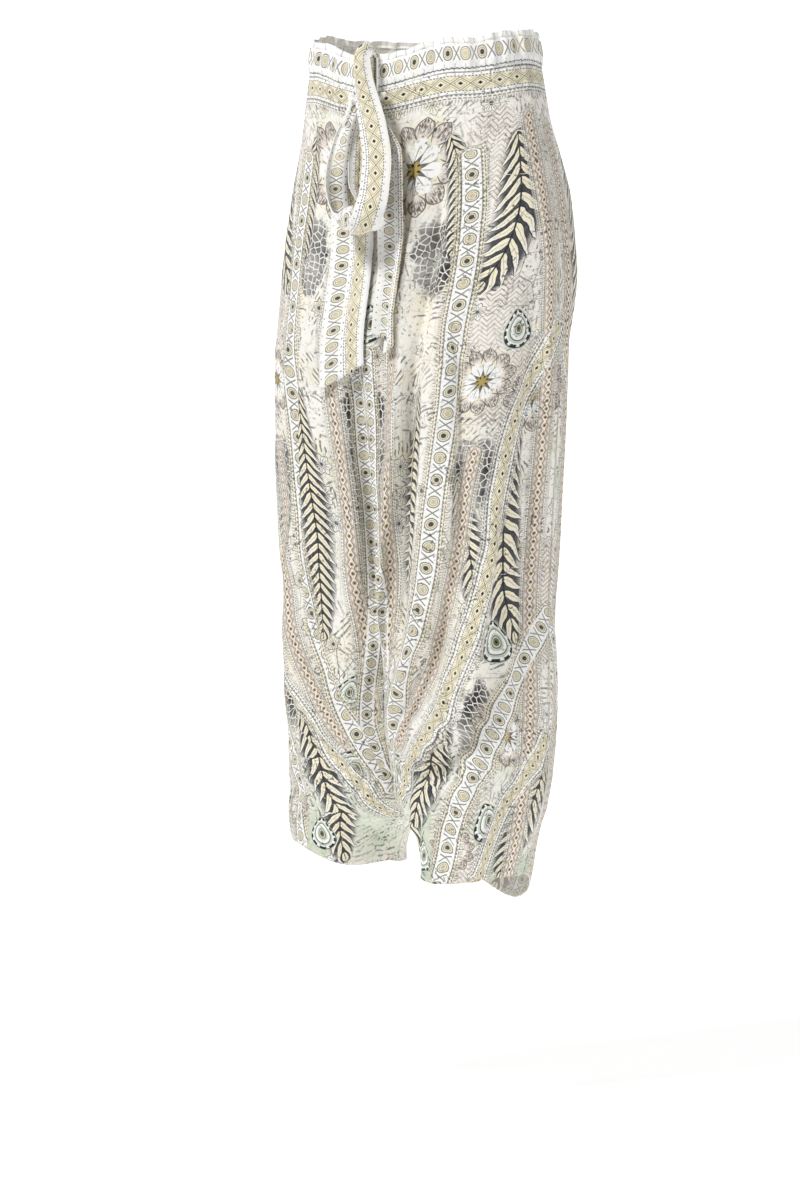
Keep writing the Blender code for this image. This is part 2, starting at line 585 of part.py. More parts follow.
def sash_loop():
    """The bow's one loop: a strip that runs down, turns under and comes back up behind."""
    route = np.array(LOOP_ROUTE)
    stations = np.linspace(0, 1, len(route))
    along = np.linspace(0, 1, LOOP_STEPS + 1)
    x, forward, z, turn = (smooth(along, stations, route[:, k]) for k in range(4))
    half = smooth(along, np.linspace(0, 1, len(LOOP_HALF_WIDTHS)), LOOP_HALF_WIDTHS)
    centre = np.stack([x, knot_middle() - forward, z], axis=-1)
    ahead = unit(np.gradient(centre, axis=0))
    turn = np.radians(turn)
    width = np.stack([np.cos(turn), np.sin(turn), 0 * turn], axis=-1)
    width = unit(width - ahead * np.sum(width * ahead, axis=1, keepdims=True))
    facing = np.cross(width, ahead)
    # Both ends are level under the knot
    level = ease(np.minimum(along, 1 - along) / LOOP_LEVEL_SHARE)
    width[:, 2] *= level
    facing[:, 2] *= level
    across = np.linspace(-1, 1, SASH_COLUMNS + 1)
    middle = centre[:, None] + unit(width)[:, None] * (half[:, None] * across)[:, :, None]
    normals = unit(facing)[:, None] + 0 * middle
    wall("sash_loop", middle, normals, SASH_WALL, SASH_COLOUR)


def sash_knot():
    """The knot: the sash wrapped upright over the waistband's middle, creased along its length."""
    work = bmesh.new()
    rings = []
    for share, size in KNOT_SECTIONS:
        ring = []
        for side in range(KNOT_SIDES):
            angle = 2 * math.pi * side / KNOT_SIDES
            sine, cosine = math.sin(angle), math.cos(angle)
            squarer = (abs(cosine) ** 4 + abs(sine) ** 4) ** -0.25
            x, y = cosine * squarer * size, sine * squarer * size
            crease = KNOT_CREASE_DEPTH * math.cos(x * KNOT_CREASES * math.pi) * max(-y, 0)
            ring.append(work.verts.new((
                KNOT_X + KNOT_HALF_WIDTH * x,
                knot_middle() + KNOT_HALF_DEPTH * y + crease,
                KNOT_FOOT + (KNOT_TOP - KNOT_FOOT) * share,
            )))
        rings.append(ring)
    for low, high in zip(rings, rings[1:]):
        for i in range(KNOT_SIDES):
            j = (i + 1) % KNOT_SIDES
            work.faces.new((low[i], low[j], high[j], high[i]))
    work.faces.new(rings[0])
    work.faces.new(rings[-1])
    mesh = bpy.data.meshes.new("sash_knot")
    work.to_mesh(mesh)
    work.free()
    finish("sash_knot", mesh, SASH_COLOUR)


def build():
    for old in list(bpy.data.objects):
        bpy.data.objects.remove(old)
    panels()
    waistband()
    reach = front_face()
    for row in SASH_ENDS:
        sash_end(row, reach)
    sash_loop()
    sash_knot()


build()
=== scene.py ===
import math

import bpy
import numpy as np
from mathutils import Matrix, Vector


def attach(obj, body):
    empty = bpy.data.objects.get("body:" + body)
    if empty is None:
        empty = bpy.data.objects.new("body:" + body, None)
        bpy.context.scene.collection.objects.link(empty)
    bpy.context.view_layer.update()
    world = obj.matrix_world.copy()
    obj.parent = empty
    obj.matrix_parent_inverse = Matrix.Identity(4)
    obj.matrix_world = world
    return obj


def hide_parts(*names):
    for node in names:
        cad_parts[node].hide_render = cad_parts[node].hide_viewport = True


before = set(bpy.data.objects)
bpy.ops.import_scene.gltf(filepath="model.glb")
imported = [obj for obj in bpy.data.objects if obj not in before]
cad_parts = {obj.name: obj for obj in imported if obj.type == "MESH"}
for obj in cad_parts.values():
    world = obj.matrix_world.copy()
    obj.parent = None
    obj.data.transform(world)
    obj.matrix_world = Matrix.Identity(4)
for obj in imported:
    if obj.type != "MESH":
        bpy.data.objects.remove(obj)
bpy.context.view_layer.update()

# Drop-crotch harem pants, worn form with no wearer: printed crepe panels, a gathered waistband
# and a half-bow sash. The cloth repeats the frame's forms at a fine scale, with its small creases,
# and carries its own cut's coordinates, which the printed and woven detail is drawn in.
# Angles run round the garment from the centre front (0) over the side seam (90) to the centre
# back (180), plus on the wearer's left. "Down" is the distance below the waist seam at the side.
# Lengths are in metres unless a name ends in mm.

BODY = "root"

# How far down the side seam each landmark lies
SADDLE_TOP = 0.770
CROTCH = 0.800
HEM = 0.844

# Which row of the sections' table is the saddle's top
SADDLE_ROW = -3
CROTCH_HEIGHT = -0.811
INSEAM_HEM_HEIGHT = -0.858
INSEAM_HALF_GAP = 0.034
POINTED_INSEAM = 0.35
# The legs part along their inner sides at the crotch, within this many radians of the centre;
# further round they part slowly, from here down to the hem
INNER_REACH = 0.95
PARTING_START = 0.70
PARTED_OUTSIDE = 0.80
# The right leg's outer side is hitched up towards the hem. Round the leg, in radians, the
# hitch starts here, is full this much further on, and dies out this far from the centre back.
RIGHT_HEM_LIFT = 0.031
LIFT_START = 0.60
LIFT_ROUND = (0.25, 0.65, 0.9)
# It stands out a little there too
RIGHT_HEM_FLARE = 0.010
FLARE_START = 0.755

# One row for each section of the trouser body, its heights from centre front to centre back.
# Parted is 0 for one tube and 1 for two legs.
SECTION_COLUMNS = (
    "down", "centre_front", "front", "side", "back", "centre_back",
    "half_width", "forward", "backward", "parted",
)
SECTIONS = (
    (0.000, -0.0445, -0.0260, -0.0160, -0.0220, -0.0265, 0.1345, 0.0950, 0.1000, 0.00),
    (0.055, -0.0860, -0.0770, -0.0710, -0.0730, -0.0750, 0.1460, 0.0910, 0.1040, 0.00),
    (0.097, -0.1220, -0.1165, -0.1130, -0.1140, -0.1150, 0.1550, 0.0850, 0.1210, 0.00),
    (0.139, -0.1610, -0.1570, -0.1550, -0.1555, -0.1560, 0.1640, 0.0870, 0.1360, 0.00),
    (0.182, -0.2020, -0.1995, -0.1980, -0.1980, -0.1985, 0.1710, 0.0940, 0.1340, 0.00),
    (0.224, -0.2425, -0.2410, -0.2400, -0.2400, -0.2400, 0.1740, 0.1020, 0.1300, 0.02),
    (0.309, -0.3250, -0.3250, -0.3250, -0.3250, -0.3250, 0.1730, 0.1200, 0.1030, 0.08),
    (0.394, -0.4100, -0.4100, -0.4100, -0.4105, -0.4110, 0.1670, 0.1210, 0.0910, 0.18),
    (0.479, -0.4950, -0.4950, -0.4950, -0.4960, -0.4970, 0.1620, 0.1180, 0.0880, 0.28),
    (0.564, -0.5800, -0.5800, -0.5800, -0.5820, -0.5840, 0.1570, 0.1130, 0.0850, 0.34),
    (0.649, -0.6640, -0.6640, -0.6650, -0.6680, -0.6700, 0.1580, 0.1130, 0.0930, 0.40),
    (0.733, -0.7440, -0.7460, -0.7490, -0.7560, -0.7520, 0.1520, 0.1060, 0.0880, 0.46),
    (0.770, -0.7780, -0.7830, -0.7860, -0.7970, -0.7860, 0.1460, 0.1050, 0.0810, 0.48),
    (0.800, -0.8110, -0.8120, -0.8160, -0.8340, -0.8110, 0.1410, 0.0970, 0.0615, 1.00),
    (0.844, -0.8580, -0.8690, -0.8640, -0.8950, -0.8580, 0.1300, 0.0975, 0.0470, 1.00),
)

# One row for each fold: where it starts, bends and ends, in metres down the side and degrees
# round, how far it stands out (minus for a trough) and its half width. Steep is how steep one
# side of its crest is, plus for the side of the larger angle.
FOLD_COLUMNS = (
    "name", "start_down", "start_angle", "bend_down", "bend_angle", "end_down", "end_angle",
    "height_mm", "width_mm", "steep",
)
FOLDS = (
    ("deep centre trough", 0.08, 30, 0.30, 23, 0.66, 15, -13, 9, 0.0),
    ("trough beside the sash", 0.02, 9, 0.15, 10, 0.36, 14, -7, 9, 0.0),
    ("narrow centre pleat", 0.05, 17, 0.20, 17, 0.33, 19, 7, 9, 0.0),
    ("trough under the sash ends", 0.24, 9, 0.33, 10, 0.44, 9, -8, 9, 0.0),
    ("centre roll", 0.27, 17, 0.42, 13, 0.66, -6, 12, 13, 0.5),
    ("left outer roll", 0.22, 28, 0.47, 39, 0.745, 2, 11, 19, 0.5),
    ("left outer roll shadow", 0.28, 39, 0.50, 46, 0.72, 22, -5, 12, 0.0),
    ("left thigh crest", 0.30, 52, 0.46, 52, 0.64, 50, 4, 20, 0.0),
    ("left inner roll", 0.42, 31, 0.57, 29, 0.735, 1, 7, 13, 0.4),
    ("left drape edge", 0.44, 60, 0.64, 50, 0.765, 2, 12, 17, 0.5),
    ("left drape shadow", 0.52, 68, 0.68, 60, 0.788, 10, -8, 14, 0.0),
    ("right centre trough", 0.28, -4, 0.45, -3, 0.64, -9, -10, 10, 0.0),
    ("right narrow roll", 0.26, -9, 0.46, -9, 0.68, -12, 7, 11, 0.3),
    ("right pleat line", 0.36, -17, 0.50, -16, 0.68, -16, -5, 8, 0.0),
    ("right outer roll", 0.20, -20, 0.50, -27, 0.745, -2, 10, 17, -0.5),
    ("right outer roll shadow", 0.26, -32, 0.52, -37, 0.72, -20, -4, 12, 0.0),
    ("right inner roll", 0.48, -19, 0.60, -19, 0.735, -1, 6, 12, -0.4),
    ("right drape edge", 0.46, -47, 0.63, -41, 0.765, -2, 9, 15, -0.5),
    ("right drape shadow", 0.52, -58, 0.67, -51, 0.788, -10, -5, 12, 0.0),
    ("crotch crease", 0.745, 0, 0.765, 0, 0.790, 0, -5, 6, 0.0),
    ("left thigh trough", 0.46, 63, 0.60, 66, 0.84, 62, -3, 16, 0.0),
    ("left side trough", 0.20, 71, 0.48, 78, 0.86, 74, -8, 13, 0.0),
    ("left side crest", 0.28, 91, 0.50, 92, 0.86, 88, 6, 17, 0.0),
    ("left shin trough", 0.66, 46, 0.76, 48, 0.86, 50, -4, 13, 0.0),
    ("right thigh crest", 0.24, -58, 0.42, -60, 0.62, -58, 3, 20, 0.0),
    ("right side trough", 0.22, -75, 0.50, -80, 0.86, -76, -7, 14, 0.0),
    ("right side crest", 0.30, -92, 0.52, -93, 0.86, -90, 5, 17, 0.0),
    ("right shin trough", 0.64, -50, 0.76, -52, 0.86, -54, -4, 13, 0.0),
    ("left seat drape", 0.26, 140, 0.52, 138, 0.745, 174, 9, 16, -0.6),
    ("left seat shadow", 0.32, 128, 0.55, 126, 0.75, 160, -6, 13, 0.0),
    ("left inner seat drape", 0.36, 157, 0.56, 153, 0.72, 176, 7, 12, -0.5),
    ("right seat drape", 0.26, -140, 0.52, -138, 0.745, -174, 9, 16, 0.6),
    ("right seat shadow", 0.32, -128, 0.55, -126, 0.75, -160, -6, 13, 0.0),
    ("right inner seat drape", 0.36, -157, 0.56, -153, 0.72, -176, 7, 12, 0.5),
    ("left back trough", 0.20, 112, 0.50, 116, 0.86, 112, -6, 15, 0.0),
    ("right back trough", 0.20, -112, 0.50, -116, 0.86, -112, -6, 15, 0.0),
    ("left calf crest", 0.55, 134, 0.70, 134, 0.86, 136, 4, 16, 0.0),
    ("right calf crest", 0.55, -134, 0.70, -134, 0.86, -136, 4, 16, 0.0),
)
# Finer creases and small rolls, with the same columns
CREASES = (
    ("left pleat beside the sash", 0.03, 23, 0.16, 20, 0.31, 16, 5.5, 5.0, -0.6),
    ("shadow beside the sash", 0.04, 12.5, 0.15, 13, 0.33, 15.5, -4.0, 4.5, 0.0),
    ("left hip line", 0.02, 39, 0.12, 35, 0.30, 30, 2.2, 6.0, 0.3),
    ("left hip hollow", 0.05, 55, 0.16, 50, 0.33, 42, -2.2, 9.0, 0.0),
    ("left lap line", 0.24, 34, 0.38, 41, 0.56, 40, 2.8, 5.0, 0.5),
    ("left lap hollow", 0.34, 26, 0.46, 25, 0.60, 21, -3.7, 5.0, 0.0),
    ("left drape line one", 0.50, 36, 0.62, 33, 0.735, 8, 4.0, 4.5, 0.6),
    ("left drape line two", 0.54, 45, 0.66, 40, 0.752, 12, 3.7, 5.0, 0.6),
    ("left drape line three", 0.58, 56, 0.69, 46, 0.768, 16, 4.0, 5.0, 0.6),
    ("left drape hollow", 0.55, 41, 0.66, 36, 0.742, 11, -3.1, 4.5, 0.0),
    ("left shin line", 0.64, 33, 0.74, 35, 0.85, 42, 2.4, 6.0, 0.4),
    ("left shin roll", 0.70, 24, 0.79, 27, 0.86, 29, 3.0, 7.0, -0.3),
    ("left knee pull", 0.40, 66, 0.52, 60, 0.62, 52, 2.2, 6.0, 0.4),
    ("left side crease", 0.10, 80, 0.34, 84, 0.58, 82, 2.4, 5.0, -0.4),
    ("left hem crease", 0.74, 66, 0.80, 66, 0.86, 67, 2.2, 7.0, 0.0),
    ("right pleat beside the sash", 0.03, -14, 0.14, -13, 0.28, -12, 3.2, 5.0, 0.4),
    ("right hip line", 0.02, -34, 0.12, -31, 0.28, -27, 2.0, 6.0, -0.3),
    ("right lap line", 0.26, -38, 0.40, -42, 0.56, -41, 2.5, 6.0, -0.4),
    ("right inner line", 0.40, -6, 0.54, -6, 0.70, -6, 3.0, 4.5, 0.5),
    ("right drape line one", 0.50, -32, 0.62, -30, 0.735, -7, 4.0, 4.5, -0.6),
    ("right drape line two", 0.55, -44, 0.67, -38, 0.752, -12, 3.7, 5.0, -0.6),
    ("right drape line three", 0.60, -55, 0.70, -44, 0.768, -17, 3.7, 5.0, -0.6),
    ("right shin line", 0.62, -40, 0.73, -42, 0.85, -46, 2.4, 7.0, -0.4),
    ("right knee pull", 0.36, -68, 0.48, -60, 0.60, -50, 2.2, 6.0, -0.4),
    ("right side crease", 0.12, -82, 0.36, -86, 0.60, -84, 2.2, 6.0, 0.4),
    ("right hem crease", 0.72, -68, 0.79, -67, 0.86, -66, 1.9, 7.0, 0.0),
    ("centre line one", 0.36, 4, 0.50, 3, 0.68, 2, 3.7, 4.0, -0.5),
    ("centre line two", 0.44, 9, 0.56, 8, 0.70, 4, 2.8, 4.0, 0.4),
    ("pouch crease", 0.742, 9, 0.765, 14, 0.795, 25, -3.4, 6.0, 0.0),
    ("pouch crease right", 0.742, -9, 0.765, -13, 0.795, -24, -3.4, 6.0, 0.0),
    ("left seat line", 0.20, 166, 0.36, 160, 0.52, 166, 2.2, 7.0, -0.3),
    ("right seat line", 0.22, -164, 0.38, -158, 0.54, -165, 2.2, 7.0, 0.3),
    ("left back line one", 0.42, 132, 0.58, 130, 0.735, 160, 3.2, 5.5, -0.5),
    ("right back line one", 0.42, -133, 0.58, -131, 0.735, -161, 3.2, 5.5, 0.5),
    ("left back line two", 0.50, 146, 0.63, 146, 0.74, 170, 2.7, 5.0, -0.5),
    ("right back line two", 0.50, -145, 0.63, -147, 0.74, -169, 2.7, 5.0, 0.5),
    ("left back shin line", 0.62, 120, 0.74, 122, 0.86, 120, 2.4, 7.0, 0.3),
    ("right back shin line", 0.60, -122, 0.73, -121, 0.86, -123, 2.4, 7.0, -0.3),
    ("left back side crease", 0.12, 98, 0.36, 101, 0.62, 99, 2.2, 6.0, 0.3),
    ("right back side crease", 0.14, -99, 0.38, -101, 0.60, -98, 2.2, 6.0, -0.3),
)
# The steep side of a fold narrows by this share of its steepness, and its crest leans over by
# this many times its height and steepness
STEEP_NARROWING = 0.6
LEAN = 1.5
FOLD_FADE_SHARE = 0.22
FOLD_FADE_MOST = 0.10
MOST_SLANT = 2.5
# Folds die out here, so that the crotch and the inseams stay clear of each other
CALM_START = 0.735
CALM_FULL = 0.785
CALM_REACH = 0.045
# Within this reach of the centre front and back, folds stand out straight forward or back, so
# that the two halves stay on their own sides
STRAIGHT_REACH = 0.035
# Slow unevenness of the whole cloth: each wave's turns a metre along x, y and z, its start,
# and its height in millimetres
WAVES = (
    (9.0, 4.0, 1.6, 0.3, 0.50),
    (-6.0, 11.0, 2.7, 1.9, 0.45),
    (17.0, -9.0, 2.1, 4.1, 0.32),
    (-24.0, 14.0, 4.3, 2.6, 0.22),
    (5.0, -7.0, 7.9, 5.2, 0.30),
)
WAVES_FULL_FROM = 0.05

# The grid of each half: columns round the front and the back, rows of the body, the saddle over
# the crotch and the legs
FRONT_CROWDED_TO = 58.0
FRONT_CROWDED_COLUMNS = 128
FRONT_PLAIN_COLUMNS = 42
BACK_COLUMNS = 110
BODY_ROWS = 226
ROWS_CROWDING = 0.30
SADDLE_ROWS = 24
LEG_ROWS = 30
NEAR = 1e-6

CLOTH = 0.0006
# How far each piece's edge is drawn back from its seam
EDGE_BACK = 0.00005
# The baking map's margins, the height of its two faces and the strip of its rim
BAKE_MARGIN = 0.008
BAKE_TALL = 0.94
BAKE_RIM = (0.965, 0.985)
# The turned hem: how wide it is, how soft its edge, and how much cloth it adds on each side
HEM_WIDTH = 0.0085
HEM_EDGE = 0.0012
HEM_EXTRA = 0.00032

# One row for each ring of the waistband: its height above the waist seam in three places, how
# much it draws in from the seam's ring, and its gather waves' share
BAND_RING_COLUMNS = ("at_side", "at_front", "at_back", "draw_in", "waves")
BAND_RINGS = (
    (0.0001, 0.0001, 0.0001, 0.0000, 0.35),
    (0.0060, 0.0060, 0.0062, 0.0002, 0.70),
    (0.0120, 0.0120, 0.0125, 0.0006, 0.95),
    (0.0270, 0.0275, 0.0300, 0.0028, 1.00),
    (0.0355, 0.0365, 0.0400, 0.0050, 1.25),
)
BAND_ROWS = 44
BAND_COLUMNS = 420
BAND_CLOTH = 0.0010
GATHERS = 30
GATHER_DEPTH = 0.0013
# Slower and quicker waves make the gathers uneven: each one's share of the depth, pace and start
GATHER_WAVES = ((1.0, 1.0, 0.0), (0.45, 0.53, 1.3), (0.40, 1.71, 0.4), (0.30, 2.63, 2.2))
GATHERS_REACH = 0.075
GATHERS_STILL = 6.0
# The top edge's slow dips: their pace, as a share of the gathers', and start, and how much
# the gathers ripple it
EDGE_PACE = (0.37, 0.8)
EDGE_RIPPLE = 0.5
# The casing's two stitch rows, as shares of the band's height, how deep they pull in, how much
# they still the gathers and their half width as a share of the height, and how much the casing
# puffs out between them and the top edge dips and swells
STITCH_ROWS = (0.10, 0.80)
STITCH_PULL = 0.0009
STITCH_CALM = 0.5
STITCH_HALF = 0.030
CASING_PUFF = 0.0010
EDGE_DIP = 0.0011


def named(columns, table):
    """A table's rows, each a dictionary by column."""
    return [dict(zip(columns, row)) for row in table]


def add(name, data):
    """A new object in the scene."""
    made = bpy.data.objects.new(name, data)
    bpy.context.scene.collection.objects.link(made)
    return made


def smooth(x, stations, values):
    """A monotone cubic through the stations, which never swings past its values."""
    stations, values = np.asarray(stations, float), np.asarray(values, float)
    steps = np.diff(stations)
    slopes = np.diff(values) / steps
    tangents = np.zeros_like(values)
    tangents[0], tangents[-1] = slopes[0], slopes[-1]
    for i in range(1, len(stations) - 1):
        if slopes[i - 1] * slopes[i] > 0:
            before, after = 2 * steps[i] + steps[i - 1], steps[i] + 2 * steps[i - 1]
            tangents[i] = (before + after) / (before / slopes[i - 1] + after / slopes[i])
    x = np.clip(x, stations[0], stations[-1])
    i = np.clip(np.searchsorted(stations, x) - 1, 0, len(stations) - 2)
    t = (x - stations[i]) / steps[i]
    return (
        (2 * t**3 - 3 * t**2 + 1) * values[i]
        + (t**3 - 2 * t**2 + t) * steps[i] * tangents[i]
        + (-2 * t**3 + 3 * t**2) * values[i + 1]
        + (t**3 - t**2) * steps[i] * tangents[i + 1]
    )


def columns_at(x, stations, columns, table):
    """A table's columns by name, smooth between its rows, which lie at the stations."""
    return {name: smooth(x, stations, values) for name, values in zip(columns, zip(*table))}


def ease(t):
    """0 below 0 and 1 above 1, with a smooth step between."""
    t = np.clip(t, 0.0, 1.0)
    return t * t * (3 - 2 * t)


def stacked(*parts):
    """The parts, spread to one shape, side by side along a new last axis."""
    return np.stack(np.broadcast_arrays(*parts), axis=-1)


def unit(vectors):
    return vectors / np.maximum(np.linalg.norm(vectors, axis=-1, keepdims=True), 1e-12)


def arc(points, axis):
    """Distance along a grid's rows (axis 1) or columns (axis 0) from its first edge."""
    steps = np.linalg.norm(np.diff(points, axis=axis), axis=-1)
    return np.insert(np.cumsum(steps, axis=axis), 0, 0, axis=axis)


def to_end(lengths):
    """How far each point of a grid is from its row's nearer end."""
    return np.minimum(lengths, lengths[:, -1:] - lengths)


def crossed(grid):
    """Unit normals of a grid: its rows' direction crossed with its columns'."""
    return unit(np.cross(np.gradient(grid, axis=1), np.gradient(grid, axis=0)))


def between(grid, row, column):
    """A grid's values between its points, at fractional rows and columns."""
    i = np.minimum(np.asarray(row).astype(int), grid.shape[0] - 2)
    j = np.minimum(np.asarray(column).astype(int), grid.shape[1] - 2)
    v, u = row - i, column - j
    upper = grid[i, j] * (1 - u) + grid[i, j + 1] * u
    lower = grid[i + 1, j] * (1 - u) + grid[i + 1, j + 1] * u
    return upper * (1 - v) + lower * v


def section_values(down):
    """The section table's columns at these distances down the side, by name."""
    stations = [row[0] for row in SECTIONS]
    values = columns_at(down, stations, SECTION_COLUMNS, SECTIONS)
    whole = values["parted"]
    rounding = np.clip((down - SADDLE_TOP) / (CROTCH - SADDLE_TOP), 0, 1) * math.pi / 2
    saddle_top = named(SECTION_COLUMNS, SECTIONS)[SADDLE_ROW]
    in_saddle = (down > SADDLE_TOP) & (down < CROTCH)
    arched = 1 - (1 - saddle_top["parted"]) * np.cos(rounding)
    values["parted"] = np.where(in_saddle, arched, whole)
    leg = np.clip((down - CROTCH) / (HEM - CROTCH), 0, 1) * math.pi / 2
    inseam = CROTCH_HEIGHT + (INSEAM_HEM_HEIGHT - CROTCH_HEIGHT) * (1 - np.cos(leg))
    for name in ("centre_front", "centre_back"):
        top = saddle_top[name]
        bowl = top + (CROTCH_HEIGHT - top) * np.sin(rounding)
        values[name] = np.where(in_saddle, bowl, values[name])
        values[name] = np.where(down >= CROTCH, inseam, values[name])
    first = columns_at(PARTING_START, stations, SECTION_COLUMNS, SECTIONS)["parted"]
    parting = first + (PARTED_OUTSIDE - first) * ease((down - PARTING_START) / (HEM - PARTING_START))
    values["outside"] = np.where(down < PARTING_START, whole, parting)
    values["inseam_x"] = INSEAM_HALF_GAP * np.sin(leg)
    values["pointed"] = POINTED_INSEAM * np.cos(leg)
    return values


def base_half(down, degrees, side):
    """One half of the body with no folds: points for each distance down and each angle from the
    centre front (0) to the centre back (180). side is +1 for the wearer's left."""
    angles = np.radians(degrees)[None, :]
    v = {name: value[:, None] for name, value in section_values(np.asarray(down)).items()}
    sine, cosine = np.sin(angles), np.cos(angles)
    outer = ease(np.minimum(angles, math.pi - angles) / INNER_REACH)
    parted = v["parted"] * (1 - outer) + v["outside"] * outer
    pointed = v["pointed"]
    leg_x = (1 - pointed) * sine**2 + pointed * sine
    x = v["inseam_x"] + (v["half_width"] - v["inseam_x"]) * (
        (1 - parted) * sine + parted * leg_x
    )
    reach = np.where(cosine > 0, v["forward"], v["backward"])
    y = -reach * ((1 - parted) * cosine + parted * np.sin(2 * angles))
    heights = [v[name] for name in SECTION_COLUMNS[1:6]]
    quarter = math.pi / 4
    z = heights[0] + 0 * angles
    for k in range(4):
        z = z + (heights[k + 1] - heights[k]) * ease((angles - k * quarter) / quarter)
    if side < 0:
        flare = ease((np.asarray(down)[:, None] - FLARE_START) / (HEM - FLARE_START))
        x = x + RIGHT_HEM_FLARE * flare * sine**2
        low = ease((np.asarray(down)[:, None] - LIFT_START) / (HEM - LIFT_START))
        start, front, back = LIFT_ROUND
        outside = ease((angles - start) / front) * ease((math.pi - angles) / back)
        z = z + RIGHT_HEM_LIFT * low * outside
    return stacked(side * x, y, z)


def joined(down, halves, at_crotch):
    """Unit vectors of both halves, made the same wherever their edges meet. at_crotch is what
    they are at the point where all four panels meet."""
    left, right = halves[1], halves[-1]
    for row, place in enumerate(down):
        if place < CROTCH - NEAR:
            for end in (0, -1):
                left[row, end] = right[row, end] = unit(left[row, end] + right[row, end])
        for half in (left, right):
            if place > CROTCH + NEAR:
                half[row, 0] = half[row, -1] = unit(half[row, 0] + half[row, -1])
            elif place > CROTCH - NEAR:
                half[row, 0] = half[row, -1] = at_crotch
    return halves


def joined_normals(down, halves):
    """Outward normals of both halves, the same wherever their edges meet."""
    normals = {side: -side * crossed(points) for side, points in halves.items()}
    return joined(down, normals, (0, 0, -1))


def gather(degrees, side):
    """The gathers' waves round the waist, about 1 high, at these angles. They are still at the
    centre front and centre back, where the two halves meet."""
    turns = np.radians(degrees) * side * GATHERS
    waves = sum(share * np.sin(turns * pace + start) for share, pace, start in GATHER_WAVES)
    return waves * ease(np.minimum(degrees, 180 - degrees) / GATHERS_STILL)


def slow_waves(points):
    """How far the cloth's slow unevenness moves each point out."""
    out = 0
    for *pace, start, height_mm in WAVES:
        turns = sum(points[..., k] * pace[k] for k in range(3))
        out = out + height_mm / 1000 * np.sin(2 * math.pi * turns + start)
    return out


def leg_shifts(down, degrees, lengths):
    """How much longer each row is from the centre front to the side seam than the row at the
    saddle's top, below which the inner edge turns in under the crotch."""
    side = np.argmin(np.abs(degrees - 90))
    top = np.argmin(np.abs(down - SADDLE_TOP))
    return {
        hand: hand * np.where(down > SADDLE_TOP, rows[:, side] - rows[top, side], 0)
        for hand, rows in lengths.items()
    }


def fold_moves(down, degrees, side, lengths):
    """How far the folds move each point of a half out along its normal, along its row and down
    its column."""
    place = side * lengths[side]
    girth = lengths[1][:, -1:] + lengths[-1][:, -1:]
    shifts = leg_shifts(down, degrees, lengths)
    out, along, below = (np.zeros_like(place) for _ in range(3))
    for fold in named(FOLD_COLUMNS, FOLDS + CREASES):
        ends = fold["start_down"], fold["bend_down"], fold["end_down"]
        turns = fold["start_angle"], fold["bend_angle"], fold["end_angle"]
        path = smooth(down, ends, turns)
        hands = [-1 if turn < 0 else 1 for turn in path]
        crest = np.array([
            hand * np.interp(abs(turn), degrees, lengths[hand][i])
            for i, (turn, hand) in enumerate(zip(path, hands))
        ])
        level = crest - np.array([shifts[hand][i] for i, hand in enumerate(hands)])
        run = np.gradient(level, down)[:, None]
        slant = np.minimum(np.sqrt(1 + run**2), MOST_SLANT)
        off = (place - crest[:, None] + girth / 2) % girth - girth / 2
        steep = fold["steep"]
        narrowing = np.where(off * steep > 0, 1 - STEEP_NARROWING * abs(steep), 1 + abs(steep))
        bump = np.exp(-((off / (fold["width_mm"] / 1000 * slant * narrowing)) ** 2))
        fade = min(FOLD_FADE_SHARE * (ends[2] - ends[0]), FOLD_FADE_MOST)
        share = ease((down - ends[0]) / fade) * ease((ends[2] - down) / fade)
        height = share[:, None] * fold["height_mm"] / 1000 * bump
        out += height
        lean = height * LEAN * steep
        along += lean / slant
        below -= lean * run / slant / slant
    to_centre = to_end(lengths[side])
    calm = ease((down - CALM_START) / (CALM_FULL - CALM_START))[:, None]
    calm = calm * (1 - ease(to_centre / CALM_REACH))
    return [moves * (1 - calm) for moves in (out, along, below)]


def cloth_halves(down, degrees):
    """The middle of the cloth with its folds: {side: (points, outward normals)}."""
    bases = {side: base_half(down, degrees, side) for side in (1, -1)}
    lengths = {side: arc(base, 1) for side, base in bases.items()}
    normals = joined_normals(down, bases)
    rounds = {side: side * unit(np.gradient(base, axis=1)) for side, base in bases.items()}
    rounds = joined(down, rounds, (1, 0, 0))
    points = {}
    seam_waves = named(BAND_RING_COLUMNS, BAND_RINGS)[0]["waves"]
    for side, base in bases.items():
        out, along, below = fold_moves(down, degrees, side, lengths)
        settled = ease(down / WAVES_FULL_FROM)[:, None]
        gathers = ease(1 - down / GATHERS_REACH)[:, None] * seam_waves
        out += gathers * GATHER_DEPTH * gather(degrees, side)[None, :]
        out += settled * slow_waves(base)
        downward = unit(np.gradient(base, axis=0))
        ways = normals[side].copy()
        ways[:, :, 0] *= ease(to_end(lengths[side]) / STRAIGHT_REACH)
        points[side] = (
            base
            + unit(ways) * out[:, :, None]
            + rounds[side] * along[:, :, None]
            + downward * below[:, :, None]
        )
    normals = joined_normals(down, points)
    for half in normals.values():
        half[0] = unit(half[0] * (1, 1, 0))
    return {side: (points[side], normals[side]) for side in points}


def body_rows():
    """Distances down the side for the panels' rows, closer together towards the crotch."""
    upper = np.linspace(0, 1, BODY_ROWS + 1)
    upper = upper * (1 + ROWS_CROWDING * (1 - upper))
    upper = EDGE_BACK + (SADDLE_TOP - EDGE_BACK) * upper
    saddle = np.linspace(SADDLE_TOP, CROTCH, SADDLE_ROWS + 1)[1:]
    leg = np.linspace(CROTCH, HEM, LEG_ROWS + 1)[1:]
    return np.concatenate([upper, saddle, leg])


